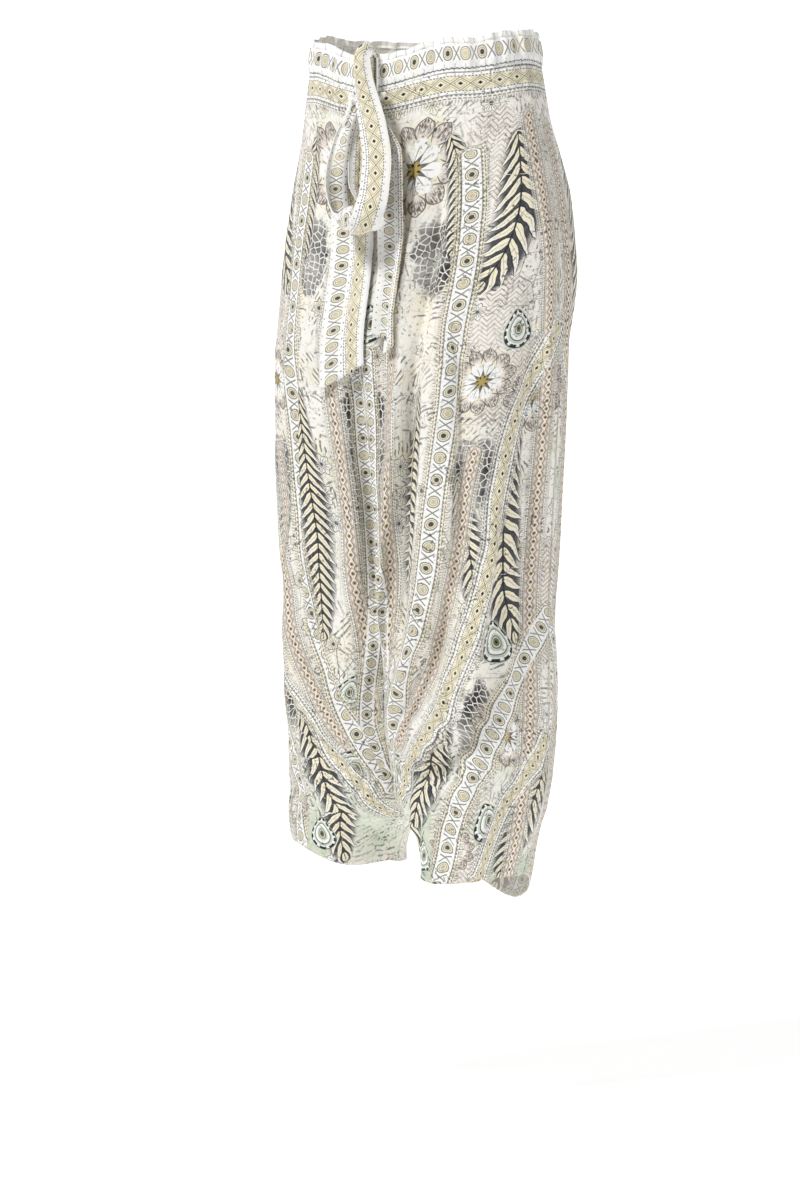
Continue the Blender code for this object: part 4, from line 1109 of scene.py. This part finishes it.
class Ink:
    """Draws in a new material's nodes: numbers as Values, colours as sockets or plain tuples."""

    def __init__(self, name):
        self.material = bpy.data.materials.new(name)
        self.material.use_nodes = True
        self.tree = self.material.node_tree

    def node(self, kind, inputs=(), **settings):
        node = self.tree.nodes.new(kind)
        for name, value in settings.items():
            setattr(node, name, value)
        for key, value in dict(inputs).items():
            self.feed(node.inputs[key], value)
        return node

    def feed(self, socket, value):
        if isinstance(value, Value):
            value = value.socket
        if isinstance(value, bpy.types.NodeSocket):
            self.tree.links.new(value, socket)
        elif isinstance(value, tuple) and socket.type == "RGBA":
            socket.default_value = (*value, 1)
        else:
            socket.default_value = value

    def surface(self, values):
        """The finished material, its surface's inputs set by name."""
        for name, value in values.items():
            self.feed(self.tree.nodes["Principled BSDF"].inputs[name], value)
        return self.material

    def paint(self, colour, *layers):
        """The colour with layers laid on it in turn, each a colour and its share."""
        for over, share in layers:
            inputs = {0: share, 6: colour, 7: over}
            colour = self.node("ShaderNodeMix", inputs, data_type="RGBA").outputs[2]
        return colour

    def math(self, operation, *values):
        node = self.node("ShaderNodeMath", enumerate(values), operation=operation)
        return Value(self, node.outputs[0])

    def peak(self, value, half):
        """0 at each even multiple of half and half at each odd one, straight between."""
        return self.math("PINGPONG", value, half)

    def petals(self, angle, count, start=0.0):
        """0 between the petals of a round of this many and 1 along their middles."""
        return self.peak(angle * (count / math.pi) + start, 1.0)

    def radius(self, x, y):
        return self.math("SQRT", x * x + y * y)

    def rise(self, value, low, high):
        """A soft step from 0 at low to 1 at high; low may be the larger."""
        inputs = {"Value": value, "From Min": low, "From Max": high}
        node = self.node("ShaderNodeMapRange", inputs, interpolation_type="SMOOTHSTEP")
        return Value(self, node.outputs["Result"])

    def line(self, value, at, half, soft=0.03):
        """1 where the value is within half of at."""
        return self.rise(abs(value - at), half + soft, half)

    def split(self, vector):
        """A vector's or colour's three numbers."""
        node = self.node("ShaderNodeSeparateXYZ", {"Vector": vector})
        return [Value(self, part) for part in node.outputs]

    def field(self, name):
        """The three numbers that the mesh carries by this name."""
        return self.split(self.node("ShaderNodeAttribute", attribute_name=name).outputs["Vector"])

    def number(self, name):
        """The one number that the mesh carries by this name."""
        return Value(self, self.node("ShaderNodeAttribute", attribute_name=name).outputs["Fac"])

    def vector(self, x, y):
        return self.node("ShaderNodeCombineXYZ", {"X": x, "Y": y}).outputs[0]

    def noise(self, at, scale, detail=2.0):
        node = self.node("ShaderNodeTexNoise", {"Vector": at, "Scale": scale, "Detail": detail})
        return Value(self, node.outputs[0])

    def clouds(self, at, scale, low, high, detail=2.0):
        """Soft patches, 0 to 1, this many a metre."""
        return self.rise(self.noise(at, scale, detail), low, high)

    def cells(self, at, scale, feature="F1", uneven=1.0):
        """Irregular cells, this many a metre."""
        inputs = {"Vector": at, "Scale": scale, "Randomness": uneven}
        settings = {"feature": feature, "voronoi_dimensions": "2D"}
        return self.node("ShaderNodeTexVoronoi", inputs, **settings).outputs

    def edges(self, at, scale, uneven=1.0):
        """How far off the edge of its cell each point is."""
        return Value(self, self.cells(at, scale, "DISTANCE_TO_EDGE", uneven)["Distance"])


# The ornaments' sizes, in half widths of their band. The chain: half a diamond's length and its
# half height. The medallions: their spacing, half length and half height. The lattice: half a
# zigzag's length.
DIAMOND = (0.95, 0.62)
MEDALLION_STEP = 1.15
MEDALLION = (0.60, 0.68)
ZIGZAG = 0.62
# Where a band's outer edge starts to fade and where it has gone
BAND_EDGE = (1.02, 0.97)
LATTICE_EDGE = (1.0, 0.95)


def chain_band(ink, under, s, d):
    """A chain of diamonds on cream between white edges. s and d are in half widths."""
    q = abs(d)
    diamond = ink.peak(s, DIAMOND[0]) * (1 / DIAMOND[0]) + q * (1 / DIAMOND[1])
    dashes = ink.line(q, 0.70, 0.03, 0.03) * ink.rise(ink.peak(s, 0.17), 0.04, 0.08)
    along, aside = ink.peak(s + 0.2, 0.42), q - 0.87
    colour = ink.paint(
        CREAM,
        (OLIVE, ink.line(diamond, 1.0, 0.05, 0.06) * 0.9),
        (OLIVE, ink.line(diamond, 0.68, 0.035, 0.05) * 0.75),
        (TAUPE, ink.line(diamond, 1.36, 0.035, 0.05) * 0.7),
        (CHARCOAL, ink.rise(diamond, 0.34, 0.22)),
        (WHITE, ink.rise(q, 0.64, 0.68)),
        (CHARCOAL, dashes * 0.9),
        (TAUPE, ink.rise(along * along + aside * aside, 0.006, 0.003)),
    )
    return ink.paint(under, (colour, ink.rise(q, *BAND_EDGE)))


def medallion_band(ink, under, s, d):
    """A chain of oval medallions, every other one dark, with crossings between them."""
    q = abs(d)
    t = ink.peak(s, MEDALLION_STEP)
    oval = ink.radius(t * (1 / MEDALLION[0]), q * (1 / MEDALLION[1]))
    dark = ink.rise(ink.peak(s, 2 * MEDALLION_STEP), 1.1, 1.2)
    core = ink.paint(OLIVE, (CHARCOAL, dark))
    crossing = ink.line(MEDALLION_STEP - t - q * 0.62, 0.0, 0.055, 0.05)
    ticks = ink.rise(ink.peak(s + 0.3, 0.38), 0.035, 0.015) * ink.rise(q, 0.76, 0.80)
    colour = ink.paint(
        WHITE,
        (INKY, ink.line(oval, 1.0, 0.07, 0.06) * 0.85),
        (CREAM, ink.rise(oval, 0.93, 0.86)),
        (OLIVE, ink.line(oval, 0.66, 0.05, 0.06) * 0.7),
        (core, ink.rise(oval, 0.52, 0.36) * (0.45 + dark * 0.5)),
        (INKY, crossing * ink.rise(oval, 0.95, 1.05) * 0.8),
        (WHITE, ink.rise(q, 0.70, 0.74)),
        (LAVENDER, ticks * 0.8),
    )
    return ink.paint(under, (colour, ink.rise(q, *BAND_EDGE)))


def lattice_band(ink, under, s, d):
    """Two zigzags round a row of dots, on blush."""
    q = abs(d)
    wave = q - 0.22 - ink.peak(s, ZIGZAG) * 0.62
    dot = ink.radius(ink.peak(s + ZIGZAG, ZIGZAG), q)
    ticks = ink.line(q, 0.86, 0.03, 0.03) * ink.rise(ink.peak(s, 0.11), 0.02, 0.05)
    colour = ink.paint(
        BLUSH,
        (CHARCOAL, ink.line(wave, 0.0, 0.05, 0.05) * 0.8),
        (OCHRE, ink.line(wave, 0.20, 0.04, 0.05) * 0.8),
        (OCHRE, ink.rise(dot, 0.30, 0.24)),
        (CHARCOAL, ink.rise(dot, 0.15, 0.10)),
        (CHARCOAL, ticks * 0.8),
    )
    return ink.paint(under, (colour, ink.rise(q, *LATTICE_EDGE)))


# How each style of border is drawn, in the order they are laid, and the tint and the dark colour
# of the trims beside it
STYLES = {
    "lattice": (lattice_band, IVORY, OLIVE),
    "medallion": (medallion_band, CREAM, INKY),
    "chain": (chain_band, IVORY, INKY),
}


def trims(ink, under, s, d, tint, dark):
    """Rows of small trims that run beside a border: teeth, dashes and a fringe."""
    q = abs(d)
    teeth = q - 1.06 - ink.peak(s, 0.22) * 0.9
    dashes = ink.line(q, 1.40, 0.035, 0.03) * ink.rise(ink.peak(s, 0.24), 0.05, 0.10)
    fringe = ink.rise(ink.peak(s + q * 0.3, 0.15), 0.06, 0.10)
    colour = ink.paint(
        under,
        (tint, ink.rise(q, 1.75, 1.55) * 0.6),
        (dark, ink.rise(teeth, 0.02, -0.03) * 0.85),
        (CHARCOAL, dashes * 0.9),
        (INKY, fringe * ink.rise(q, 2.1, 1.6) * ink.rise(q, 1.50, 1.55) * 0.55),
    )
    return ink.paint(under, (colour, ink.rise(q, 0.9, 0.95) * ink.rise(q, 2.2, 1.9) * 0.9))


# The pen strokes: patches of one direction a metre, how far a direction turns with its patch's
# chance number, and half the strokes' spacing
STROKE_PATCHES = 36.0
STROKE_TURN = 6.28
STROKE_STEP = 0.0027
# The small flowers: cells a metre, least radius and its spread in millimetres, petals and rays
SMALL_FLOWERS = 27.0
SMALL_RADIUS = (7.0, 6.0)
SMALL_PETALS = 7
SMALL_RAYS = 14


def strokes(ink, under, at, u, v, wobble):
    """Pen strokes that change direction from patch to patch, and small round flowers."""
    chance = ink.split(ink.cells(at, STROKE_PATCHES)["Color"])
    turn = chance[0] * STROKE_TURN
    across = u * ink.math("COSINE", turn) + v * ink.math("SINE", turn) + wobble * 0.006
    stroke = ink.rise(ink.peak(across, STROKE_STEP), 0.0014, 0.0021)
    stroke = stroke * ink.clouds(at, 95.0, 0.45, 0.56) * ink.rise(chance[1], 0.15, 0.75)
    cell = ink.cells(at, SMALL_FLOWERS)
    chance, centre = ink.split(cell["Color"]), ink.split(cell["Position"])
    angle = ink.math("ARCTAN2", v - centre[1], u - centre[0])
    r = Value(ink, cell["Distance"]) * (1000 / SMALL_FLOWERS) + wobble * 1.6
    size = chance[0] * SMALL_RADIUS[1] + SMALL_RADIUS[0]
    edge = r - size * (0.70 + ink.petals(angle, SMALL_PETALS) * 0.30)
    shown = ink.rise(chance[1], 0.30, 0.34)
    rays = ink.rise(ink.petals(angle, SMALL_RAYS), 0.45, 0.85)
    rays = rays * ink.rise(r, size * 0.9, size * 0.3) * ink.rise(edge, -0.3, -0.9)
    return ink.paint(
        under,
        (CHARCOAL, stroke * 0.8),
        (ink.paint(WHITE, (CREAM, chance[2])), ink.rise(edge, 0.2, -0.2) * shown * 0.85),
        (CHARCOAL, rays * shown * 0.9),
        (INKY, ink.line(edge, 0.0, 0.30, 0.3) * shown * 0.9),
        (CHARCOAL, ink.rise(r, 2.4, 1.8) * shown * 0.9),
    )


# The fronds: the leaflets' spacing and half width, and how steeply they slant
LEAF_STEP = 0.52
LEAF_HALF = 0.40
LEAF_SLANT = 0.95


def frond(ink, under, wobble):
    """Fern leaflets in cream on charcoal, either side of a spine."""
    s, d, _ = ink.field("frond")
    q = abs(d)
    t = ink.peak((s + q * LEAF_SLANT) * (1 / LEAF_STEP) + wobble * 0.5, 0.5)
    leaf = t - 0.5 + (1 - q * q) * LEAF_HALF * ink.rise(q, -0.25, 0.22)
    colour = ink.paint(
        under,
        (CHARCOAL, ink.rise(q + wobble * 0.5, 1.05, 0.55) * 0.95),
        (ink.paint(CREAM, (IVORY, ink.rise(q, 0.2, 0.9))), ink.rise(leaf, 0.0, 0.05)),
        (OLIVE, ink.line(t, 0.5, 0.015, 0.03) * ink.rise(q, 0.85, 0.5) * 0.6),
        (CHARCOAL, ink.line(leaf, 0.0, 0.025, 0.03) * ink.rise(q, 1.0, 0.8)),
        (CHARCOAL, ink.rise(q, 0.05, 0.02)),
    )
    return ink.paint(under, (colour, ink.rise(q, 1.0, 0.94)))


# The round flowers, in radii: each ring's petals, the middle of their length and half of it
OUTER_PETALS = (11, 0.76, 0.25)
INNER_PETALS = (8, 0.40, 0.26)
HEART_DOTS = 7
HEART_EDGE = (0.19, 0.17)


def flower(ink, under, wobble):
    """A round flower: a dotted heart, sharp petals with dark outlines and soft stippled ones."""
    x, y, _ = ink.field("flower")
    r = ink.radius(x, y) + wobble * 0.10
    angle = ink.math("ARCTAN2", y, x)
    count, middle, half = OUTER_PETALS
    out = (r - middle) * (1 / half)
    soft = ink.petals(angle, count) - out * out * 0.9
    beyond = ink.rise(r, 0.54, 0.62)
    tuft = ink.rise(soft, 0.0, 0.25) * beyond
    streaks = ink.clouds(ink.vector(angle * 6.0, r * 2.0), 5.0, 0.40, 0.58, 3.0)
    count, middle, half = INNER_PETALS
    t = ink.petals(angle, count, 0.5)
    out = (r - middle) * (1 / half)
    body = ink.rise(t - out * out * 0.95, 0.0, 0.08) * ink.rise(r, 0.64, 0.60)
    heart = ink.rise(r, *HEART_EDGE)
    dots = ink.petals(angle, HEART_DOTS) * ink.rise(r, 0.06, 0.12)
    colour = ink.paint(
        under,
        (CREAM, ink.rise(r, 1.15, 0.75) * 0.8),
        (BLUSH, tuft * 0.9),
        (INKY, tuft * streaks * ink.rise(r, 0.60, 0.80) * 0.9),
        (CHARCOAL, ink.line(soft, 0.05, 0.04, 0.08) * beyond * 0.85),
        (CHARCOAL, ink.rise(r, 0.56, 0.42) * 0.85),
        (WHITE, body),
        (OLIVE, ink.line(t, 1.0, 0.06, 0.06) * body * ink.rise(r, 0.50, 0.38) * 0.8),
        (OCHRE, heart),
        (CHARCOAL, ink.rise(dots, 0.55, 0.75) * heart),
    )
    return ink.paint(under, (colour, ink.rise(r, 1.12, 1.0)))


# The teardrops: half the spacing of their rings and how many beads go round them
DROP_RINGS = 0.16
DROP_BEADS = 12


def teardrop(ink, under, wobble):
    """A teardrop with rings inside it, in sage and charcoal."""
    x, y, _ = ink.field("drop")
    bent = x + y * y * 0.22 - 0.08
    pinch = 1 - (y * -1 + 0.1) * 0.52
    wide = bent / ink.math("MAXIMUM", pinch, 0.12)
    e = ink.math("SQRT", wide * wide * 1.6 + y * y) + wobble * 0.06
    beads = ink.petals(ink.math("ARCTAN2", y, wide), DROP_BEADS)
    colour = ink.paint(
        SAGE,
        (WHITE, ink.rise(ink.peak(e, DROP_RINGS), 0.05, 0.11)),
        (CHARCOAL, ink.line(ink.peak(e + 0.05, DROP_RINGS), 0.0, 0.012, 0.02)),
        (CHARCOAL, ink.line(e, 0.86, 0.07, 0.02) * ink.rise(beads, 0.30, 0.42)),
        (OLIVE, ink.rise(e, 0.22, 0.18)),
        (CHARCOAL, ink.rise(e, 0.10, 0.07)),
    )
    return ink.paint(under, (colour, ink.rise(e, 1.0, 0.97)))


# Half the hatching's and the chevrons' spacing, the crackle's two sizes and the pebbles', in
# cells a metre, and how uneven the pebbles are
HATCH_STEP = 0.0026
CHEVRON_STEP = 0.008
CRACKLE = (46.0, 120.0)
PEBBLES = (135.0, 0.75)


def fillings(ink, under, u, v, at, wobble):
    """Chevron hatching, pebbled scales and crackle, each in its own patches."""
    hatch, scales, crackle = (part + wobble * 0.6 for part in ink.field("fill"))
    hatched, pebbled = ink.rise(hatch, 0.34, 0.50), ink.rise(scales, 0.40, 0.52)
    chevron = ink.peak(v + ink.peak(u, CHEVRON_STEP) * 0.9 + wobble * 0.003, HATCH_STEP)
    wide, fine = (ink.edges(at, scale) for scale in CRACKLE)
    shade = ink.paint(INKY, (CHARCOAL, ink.clouds(at, 24.0, 0.36, 0.50)))
    return ink.paint(
        under,
        (BLUSH, hatched * 0.5),
        (INKY, ink.rise(chevron, 0.0016, 0.0022) * hatched * 0.6),
        (INKY, ink.rise(wide, 0.030, 0.008) * (0.25 + ink.rise(crackle, 0.25, 0.6) * 0.6)),
        (OLIVE, ink.rise(fine, 0.05, 0.01) * ink.rise(crackle, 0.40, 0.75) * 0.4),
        (IVORY, pebbled * 0.7),
        (shade, ink.rise(ink.edges(at, *PEBBLES), 0.05, 0.10) * pebbled),
    )


# The ground's clouds: their colour, turns a metre, where they start and are full, how finely
# they are broken up, and their share
CLOUDS = (
    (BLUSH, 9.0, 0.50, 0.66, 1.0, 0.6),
    (CREAM, 14.0, 0.50, 0.66, 3.0, 0.8),
    (SAGE, 7.0, 0.54, 0.70, 3.0, 0.65),
)


def ground(ink, at):
    """The cloth's soft tints: ivory with clouds of blush, cream and sage."""
    return ink.paint(IVORY, *((row[0], ink.clouds(at, *row[1:5]) * row[5]) for row in CLOUDS))


def grain(ink, under, at):
    """The drawing's pen grain over everything: soft mottling and short dark touches."""
    touches = ink.clouds(at, 260.0, 0.60, 0.66, 1.0) * ink.clouds(at, 26.0, 0.40, 0.62)
    mottling = ink.clouds(at, 190.0, 0.52, 0.78)
    return ink.paint(under, (TAUPE, mottling * 0.34), (CHARCOAL, touches * 0.75))


# How rough the crepe is and how much that varies, how big its pebble is, in turns a metre, and
# how deep, how strong its sheen is and how rough, and how long and deep its stitches are
CREPE_ROUGHNESS = (0.70, 0.14)
CREPE_PEBBLE = 950.0
CREPE_DEPTH = 0.00007
CREPE_SPECULAR = 0.30
CREPE_SHEEN = (0.12, 0.45)
STITCH_LENGTH = 0.0026
STITCH_DEPTH = 0.00025


def cloth_finish(ink, colour, at, grooves):
    """A soft crepe in this colour. grooves is how deep stitches and seams sink, 0 to 1."""
    height = ink.noise(at, CREPE_PEBBLE, 1.0) * CREPE_DEPTH - grooves * STITCH_DEPTH
    bump = ink.node("ShaderNodeBump", {"Height": height, "Distance": 1.0, "Strength": 1.0})
    return ink.surface({
        "Base Color": colour,
        "Roughness": ink.noise(at, 60.0) * CREPE_ROUGHNESS[1] + CREPE_ROUGHNESS[0],
        "Specular IOR Level": CREPE_SPECULAR,
        "Sheen Weight": CREPE_SHEEN[0],
        "Sheen Roughness": CREPE_SHEEN[1],
        "Normal": bump.outputs[0],
    })


def sewn(ink, along):
    """The stitches of a row, along it."""
    return ink.rise(ink.peak(along, STITCH_LENGTH), 0.0004, 0.0008)


# The hem's stitch row and the seam's groove, in metres from the edge, how high the green wash
# reaches, and how pale the print is on the inside
HEM_STITCHES = 0.0078
SEAM_GROOVE = 0.0016
WASH_REACH = (0.16, 0.02)
INSIDE_PALER = 0.42


def printed_cloth():
    ink = Ink("printed_crepe")
    u, v, to_hem = ink.field("flat")
    at = ink.vector(u, v)
    wobble = ink.noise(at, 70.0) - 0.5
    wash = ink.rise(to_hem, *WASH_REACH) * ink.clouds(at, 12.0, 0.40, 0.58)
    colour = ink.paint(ground(ink, at), (GREEN, wash * 0.7))
    colour = strokes(ink, colour, at, u, v, wobble)
    colour = fillings(ink, colour, u, v, at, wobble)
    colour = ink.paint(colour, (IVORY, ink.clouds(at, 16.0, 0.44, 0.66, 3.0) * 0.45))
    for draw in (flower, frond, teardrop):
        colour = draw(ink, colour, wobble)
    fields = {name: ink.field(name) for name in STYLES}
    for name, (_, tint, dark) in STYLES.items():
        s, d, _ = fields[name]
        colour = trims(ink, colour, s, d + wobble * 0.10, tint, dark)
    for name, (draw, _, _) in STYLES.items():
        s, d, _ = fields[name]
        colour = draw(ink, colour, s, d + wobble * 0.06)
    colour = grain(ink, colour, at)
    colour = ink.paint(colour, (IVORY, ink.number("inner") * INSIDE_PALER))
    stitches = ink.line(to_hem, HEM_STITCHES, 0.0003, 0.0003) * sewn(ink, u)
    seam = ink.rise(ink.number("seam"), SEAM_GROOVE, 0.0)
    return cloth_finish(ink, colour, at, stitches + seam)


# The waistband, in metres above its seam: the medallions' middle, half width and unit of length,
# the zigzag's foot and half step, the ticks' half step, and the two stitch rows
BAND_MEDALLIONS = (0.0190, 0.0102, 0.0080)
BAND_ZIGZAG = (0.0030, 0.0026)
BAND_TICKS = 0.0055
BAND_STITCHES = (0.0040, 0.0295)


def band_cloth():
    ink = Ink("waistband_crepe")
    u, up, _ = ink.field("flat")
    at = ink.vector(u, up)
    wobble = ink.noise(at, 90.0) - 0.5
    ticks = ink.rise(ink.peak(u + wobble * 0.006, BAND_TICKS), 0.0007, 0.0003)
    colour = ink.paint(WHITE, (LAVENDER, ticks * 0.75))
    middle, half, unit_length = BAND_MEDALLIONS
    colour = medallion_band(ink, colour, u / unit_length, (up - middle) / half)
    foot, step = BAND_ZIGZAG
    zigzag = up - foot - ink.peak(u + wobble * 0.003, step) * 0.5
    colour = ink.paint(
        colour,
        (CHARCOAL, ink.line(zigzag, 0.0, 0.0004, 0.0003) * 0.85),
        (CREAM, ink.clouds(at, 30.0, 0.50, 0.70) * 0.4),
        (IVORY, ink.number("inner") * 0.5),
    )
    low, high = (ink.line(up, row, 0.0003, 0.0003) for row in BAND_STITCHES)
    return cloth_finish(ink, colour, at, (low + high) * sewn(ink, u))


# The sash, in metres from its left edge: each row of dots, its shift along, its dots' outer and
# inner radius squared, in square millimetres, and its share; the middle, half width and unit of
# length of the medallions and of the chain; the dashed line; and the edges' stitch rows
SASH_DOTS = ((0.0255, 0.0, 0.9, 0.4, 1.0), (0.0032, 0.002, 0.7, 0.3, 0.8))
SASH_DOT_STEP = 0.0042
SASH_MEDALLIONS = (0.0150, 0.0098, 0.0072)
SASH_CHAIN = (0.0392, 0.0112, 0.0088)
SASH_LINE = 0.0284
SASH_LINE_STEP = 0.0016
SASH_STITCHES = 0.0016


def sash_cloth():
    ink = Ink("sash_crepe")
    a, v, _ = ink.field("flat")
    at = ink.vector(a, v)
    wobble = ink.noise(at, 90.0) - 0.5
    colour = WHITE
    for place, shift, outer, inner, share in SASH_DOTS:
        along, aside = ink.peak(v + shift, SASH_DOT_STEP), a - place
        dots = ink.rise(along * along + aside * aside, outer / 1e6, inner / 1e6)
        colour = ink.paint(colour, (CHARCOAL, dots * share))
    for draw, band in ((medallion_band, SASH_MEDALLIONS), (chain_band, SASH_CHAIN)):
        middle, half, unit_length = band
        colour = draw(ink, colour, v / unit_length, (a - middle) / half + wobble * 0.05)
    dashes = ink.rise(ink.peak(v, SASH_LINE_STEP), 0.0003, 0.0007)
    colour = ink.paint(
        colour,
        (CHARCOAL, ink.line(a, SASH_LINE, 0.0004, 0.0003) * dashes * 0.8),
        (CREAM, ink.clouds(at, 25.0, 0.50, 0.72) * 0.4),
    )
    edge = ink.math("MINIMUM", a, SASH_WIDTH - a)
    row = ink.line(edge, SASH_STITCHES, 0.0002, 0.0002)
    return cloth_finish(ink, colour, at, row * sewn(ink, v))


# The photo's frame: the camera looks from the garment's front left, from 5.5 m away at the height
# of the hips, and down a little. Distances are from the garment's axis.
VIEW_AZIMUTH = 37.0
VIEW_DISTANCE = 5.5
VIEW_HEIGHT = -0.2615
LENS = 155.6
SENSOR = 36.0
AIM_ASIDE = -0.0255
AIM_HEIGHT = -0.580
FLOOR = -1.10
STAGE_HALF = 9.0
STAGE_FRONT = 1.7
STAGE_CURVE = 2.5
STAGE_CURVE_STEPS = 16
STAGE_WHITE = 0.94
# How brightly the stage shines by itself, at its front edge and from the wall's foot on
STAGE_GLOW = (0.50, 0.90)
# White all round for the other views, seen by the camera alone
BACKDROP_HALF = 14.0
BACKDROP_DROP = 0.01
UNSEEN_BY = ("diffuse", "glossy", "transmission", "volume_scatter", "shadow")


def view_axes():
    """Level directions from the garment towards the camera and to the picture's right."""
    turn = math.radians(VIEW_AZIMUTH)
    back = Vector((math.sin(turn), -math.cos(turn), 0))
    return back, Vector((-back.y, back.x, 0))


def faced(item, place, aim):
    """Sets a camera or a light at a place, turned towards its aim."""
    item.location = place
    item.rotation_euler = (aim - place).to_track_quat("-Z", "Y").to_euler()


def camera():
    back, right = view_axes()
    eye = add("camera", bpy.data.cameras.new("camera"))
    eye.data.lens = LENS
    eye.data.sensor_width = SENSOR
    place = back * VIEW_DISTANCE + Vector((0, 0, VIEW_HEIGHT))
    faced(eye, place, right * AIM_ASIDE + Vector((0, 0, AIM_HEIGHT)))
    bpy.context.scene.camera = eye


def glowing(name, points, faces, white, specular, glow):
    """A stage piece in white that shines by itself."""
    mesh = bpy.data.meshes.new(name)
    mesh.from_pydata([tuple(point) for point in points], [], faces)
    write_field(mesh, "glow", np.array(glow))
    mesh.shade_smooth()
    ink = Ink(f"white_{name}")
    mesh.materials.append(ink.surface({
        "Base Color": (white, white, white),
        "Roughness": 0.9,
        "Specular IOR Level": specular,
        "Emission Color": (1, 1, 1),
        "Emission Strength": ink.number("glow"),
    }))
    piece = add(name, mesh)
    return piece


def stage():
    """A white floor that curves up into a wall behind the garment, square to the camera."""
    profile = [(-STAGE_FRONT, 0.0), (STAGE_HALF - STAGE_CURVE, 0.0)]
    for k in range(1, STAGE_CURVE_STEPS + 1):
        turn = k / STAGE_CURVE_STEPS * math.pi / 2
        out, up = math.sin(turn) * STAGE_CURVE, (1 - math.cos(turn)) * STAGE_CURVE
        profile.append((STAGE_HALF - STAGE_CURVE + out, up))
    profile.append((STAGE_HALF, STAGE_HALF))
    back, right = view_axes()
    points = [
        right * side * STAGE_HALF - back * away + Vector((0, 0, FLOOR + up))
        for away, up in profile
        for side in (-1, 1)
    ]
    faces = [(k, k + 1, k + 3, k + 2) for k in range(0, len(points) - 2, 2)]
    glow = 2 * STAGE_GLOW[:1] + (len(points) - 2) * STAGE_GLOW[1:]
    glowing("floor", points, faces, STAGE_WHITE, 0.1, glow)


def backdrop():
    """A white box round everything, which lights nothing and casts no shadow."""
    ring = [(-1, -1), (1, -1), (1, 1), (-1, 1)]
    heights = (FLOOR - BACKDROP_DROP, BACKDROP_HALF)
    points = [(x * BACKDROP_HALF, y * BACKDROP_HALF, z) for z in heights for x, y in ring]
    faces = [(0, 1, 2, 3), (7, 6, 5, 4)]
    faces += [(k, k + 4, (k + 1) % 4 + 4, (k + 1) % 4) for k in range(4)]
    box = glowing("backdrop", points, faces, 0.0, 0.0, [1.0] * len(points))
    for ray in UNSEEN_BY:
        setattr(box, f"visible_{ray}", False)


LIGHTS_AIM = -0.45
LIGHT_COLUMNS = ("name", "azimuth", "elevation", "distance", "size", "watts")
LIGHTS = (
    ("key", -12, 50, 3.6, 0.8, 100),
    ("fill", 80, 22, 4.0, 1.8, 50),
)
WORLD_LIGHT = 0.11


def lights():
    aim = Vector((0, 0, LIGHTS_AIM))
    for light in named(LIGHT_COLUMNS, LIGHTS):
        lamp = bpy.data.lights.new(light["name"], "AREA")
        lamp.shape = "DISK"
        lamp.size = light["size"]
        lamp.energy = light["watts"]
        a, e = math.radians(light["azimuth"]), math.radians(light["elevation"])
        out = Vector((math.sin(a) * math.cos(e), -math.cos(a) * math.cos(e), math.sin(e)))
        faced(add(light["name"], lamp), aim + out * light["distance"], aim)
    world = bpy.data.worlds.new("studio")
    world.use_nodes = True
    sky = world.node_tree.nodes["Background"].inputs
    sky["Color"].default_value = (1, 1, 1, 1)
    sky["Strength"].default_value = WORLD_LIGHT
    bpy.context.scene.world = world


# The cut: width and length of each piece's rectangle and the area of its own outline, in metres
PANEL_FLAT = {"front": (0.300, 0.900, 0.225), "back": (0.290, 0.905, 0.215)}


def declare(piece, node, material):
    piece.data.materials.append(material)
    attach(piece, BODY)
    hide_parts(node)


def build():
    cloth, band_finish, sash_finish = printed_cloth(), band_cloth(), sash_cloth()
    made, halves = panels()
    for name, piece in made.items():
        declare(piece, name, cloth)
        width, length, area = PANEL_FLAT[name.split("_")[0]]
    for name, piece in waistband().items():
        declare(piece, f"waistband_{name}", band_finish)
    reach = front_face(halves)
    sash = {"knot": sash_knot(), "loop": sash_loop()}
    for end in named(SASH_END_COLUMNS, SASH_ENDS):
        sash[end["name"]] = sash_end(end, reach)
    for name, piece in sash.items():
        declare(piece, f"sash_{name}", sash_finish)
    camera()
    stage()
    backdrop()
    lights()
    bpy.context.scene.view_settings.view_transform = "Standard"


build()
